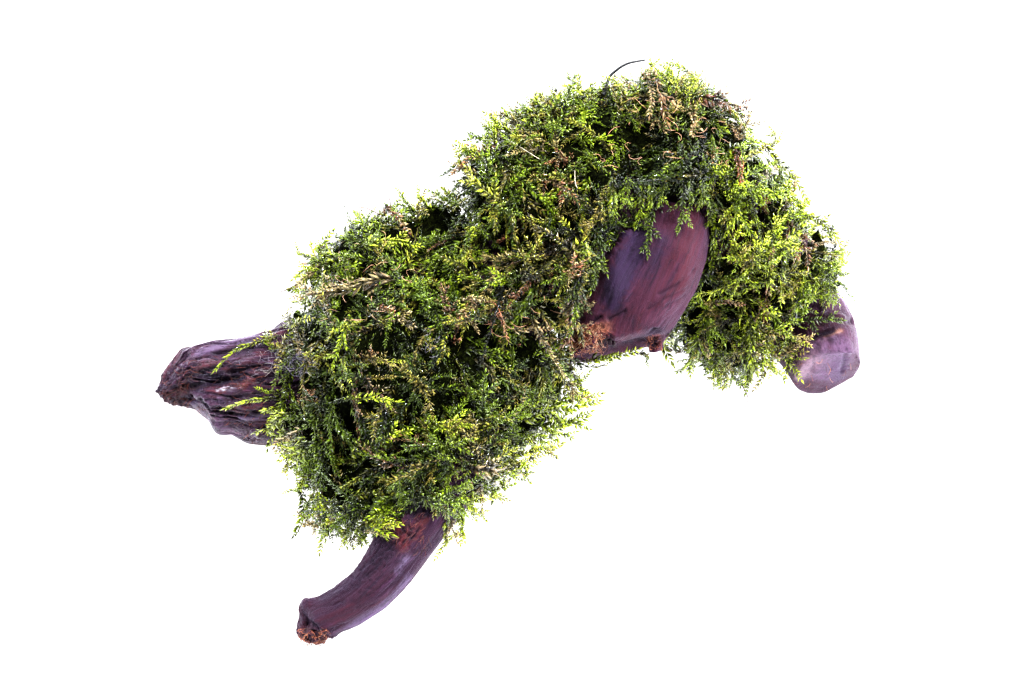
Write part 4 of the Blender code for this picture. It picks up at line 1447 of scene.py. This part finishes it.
FIBRES = (
    # box in the picture, way of the fibres, how many, their length, tone, radius and curl
    ((569, 324, 608, 346), (-0.5, 0.8), 130, (4, 12), (0.12, 0.45), 0.055, 0.7),
    ((569, 322, 602, 350), (-0.3, 0.9), 190, (4, 11), (0.45, 0.74), 0.05, 0.9),
    ((600, 335, 616, 350), (-0.5, 0.6), 40, (2, 5), (0.03, 0.15), 0.06, 0.9),
    ((646, 336, 662, 347), (0.1, 1.0), 50, (3, 7), (0.12, 0.50), 0.05, 0.8),
    ((299, 628, 329, 646), (-0.6, 0.6), 120, (3, 7), (0.10, 0.62), 0.06, 0.9),
    ((396, 512, 430, 552), (-0.5, 0.7), 60, (4, 10), (0.12, 0.30), 0.06, 0.3),
    ((161, 380, 190, 416), (-0.8, 0.5), 110, (4, 9), (0.04, 0.34), 0.06, 0.5),
    ((176, 408, 264, 446), (-0.8, 0.6), 90, (3, 8), (0.06, 0.40), 0.06, 0.5),
    ((175, 360, 272, 415), (-0.96, 0.22), 160, (5, 14), (0.02, 0.32), 0.06, 0.3),
    ((790, 356, 856, 390), (-0.3, 0.9), 20, (4, 9), (0.18, 0.60), 0.05, 0.4),
)
HAIRS = (((274, 350, 312, 374), 100, (8, 20), 0.95), ((256, 358, 278, 376), 18, (6, 14), 0.90),
         ((422, 330, 438, 366), 10, (6, 14), 0.93), ((470, 300, 560, 345), 26, (8, 22), 0.60),
         ((300, 240, 420, 330), 40, (8, 22), 0.66), ((600, 90, 740, 180), 40, (8, 22), 0.64))

draw = random.Random(5)
threads = [thread(places, [0.3] + [1.8] * (len(places) - 1), radius, tone)
           for radius, tone, places in THREADS]
for (left, top, right, bottom), count, lengths, tone in HAIRS:
    for _ in range(count):
        x, y = draw.uniform(left, right), draw.uniform(top, bottom)
        way, turn, run = draw.uniform(0, 6.3), draw.gauss(0, 0.9), draw.uniform(*lengths)
        places = [(x, y)]
        for step in range(3):
            angle = way + turn * step
            x, y = x + run / 3 * math.cos(angle), y + 0.6 * run / 3 * math.sin(angle)
            places.append((x, y))
        threads.append(thread(places, (0.6, 1.4, 1.6, 1.0), 0.06,
                              tone + draw.uniform(-0.05, 0.03), STEM))
points, triangles, chart = joined(threads)
piece_from("loose_threads", points, triangles, FIBRE_FINISH, chart)

fibres = []
for (left, top, right, bottom), (across, down), count, lengths, tones, radius, curl in FIBRES:
    for _ in range(count):
        x, y = draw.uniform(left, right), draw.uniform(top, bottom)
        if wood_tree.ray_cast(EYE, sight_line(x, y))[0] is None:
            continue
        run, turn = draw.uniform(*lengths), draw.gauss(0, curl)
        way = math.atan2(down, across) + draw.gauss(0, 0.3 + 0.5 * curl)
        places = [(x, y)]
        for step in range(3):
            angle = way + turn * step
            x, y = x + run / 3 * math.cos(angle), y + run / 3 * math.sin(angle)
            places.append((x, y))
        fibres.append(thread(places, (0, 0.3, draw.uniform(0.1, 0.7), 0.2), radius,
                             draw.uniform(*tones), STEM, wood_tree))
points, triangles, chart = joined(fibres)
piece_from("torn_fibres", points, triangles, FIBRE_FINISH, chart)

# %% [markdown]
# ## The floor and the light
# The picture is a bright studio picture: everything round the piece is blown out to white, and
# no shadow is left. A floor that glows like a light table gives that, and lights the piece from
# below. Seen straight on, a floor that bright would swallow the thin sprigs in front of it, so
# the camera is shown plain white in its place. One large soft lamp above makes the shape, and
# small cool lamps behind and beside it make the sparks on wet leaves and the violet sheen.

# %% Floor and light
def floor_piece():
    bm = bmesh.new()
    bmesh.ops.create_grid(bm, x_segments=1, y_segments=1, size=3.0)
    mesh = bpy.data.meshes.new("floor")
    bm.to_mesh(mesh)
    bm.free()
    white, tree, shader = new_finish("white_floor", Roughness=0.9)
    shader.inputs["Base Color"].default_value = (0.95, 0.95, 0.95, 1.0)
    shader.inputs["Emission Color"].default_value = (1.0, 1.0, 1.0, 1.0)
    shader.inputs["Emission Strength"].default_value = 0.9
    plain = node_of(tree, "ShaderNodeEmission", {"Strength": 1.3}).outputs["Emission"]
    seen = node_of(tree, "ShaderNodeLightPath").outputs["Is Camera Ray"]
    shown = node_of(tree, "ShaderNodeMixShader", {0: seen, 1: shader.outputs["BSDF"], 2: plain})
    output = tree.nodes["Material Output"]
    tree.links.new(shown.outputs["Shader"], output.inputs["Surface"])
    mesh.materials.append(white)
    floor = bpy.data.objects.new("floor", mesh)
    floor.location.z = -0.0002
    bpy.context.scene.collection.objects.link(floor)
    floor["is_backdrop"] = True


def lamp(name, place, size, power, colour):
    data = bpy.data.lights.new(name, "AREA")
    data.shape = "DISK"
    data.size = size
    data.energy = power
    data.color = colour
    made = bpy.data.objects.new(name, data)
    made.location = place
    made.rotation_euler = (-Vector(place)).to_track_quat("-Z", "Y").to_euler()
    bpy.context.scene.collection.objects.link(made)


floor_piece()
lamp("soft_lamp", (0.15, 0.10, 0.80), 0.35, 17.0, (1.0, 0.99, 0.97))
lamp("cool_lamp_behind", (0.30, 0.55, 0.60), 0.08, 10.0, (0.80, 0.87, 1.0))
lamp("cool_lamp_left", (-0.60, 0.10, 0.60), 0.08, 8.0, (0.80, 0.87, 1.0))
lamp("cool_lamp_right", (0.60, -0.25, 0.55), 0.08, 8.0, (0.80, 0.87, 1.0))
sky = bpy.data.worlds.new("white_sky")
sky.use_nodes = True
sky.node_tree.nodes["Background"].inputs["Color"].default_value = (0.96, 0.97, 1.0, 1.0)
sky.node_tree.nodes["Background"].inputs["Strength"].default_value = 0.4
bpy.context.scene.world = sky
bpy.context.scene.view_settings.view_transform = "Standard"
bpy.context.scene.view_settings.look = "High Contrast"

# %% [markdown]
# ## The shown box
# The looks may stand a little proud of the solids, but not much. The box of what is shown is
# measured and printed.

# %% Measure and print the shown box
shown_box = [list(corner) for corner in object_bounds()]
print("shown box in mm:", [[round(value / MM, 1) for value in corner] for corner in shown_box])
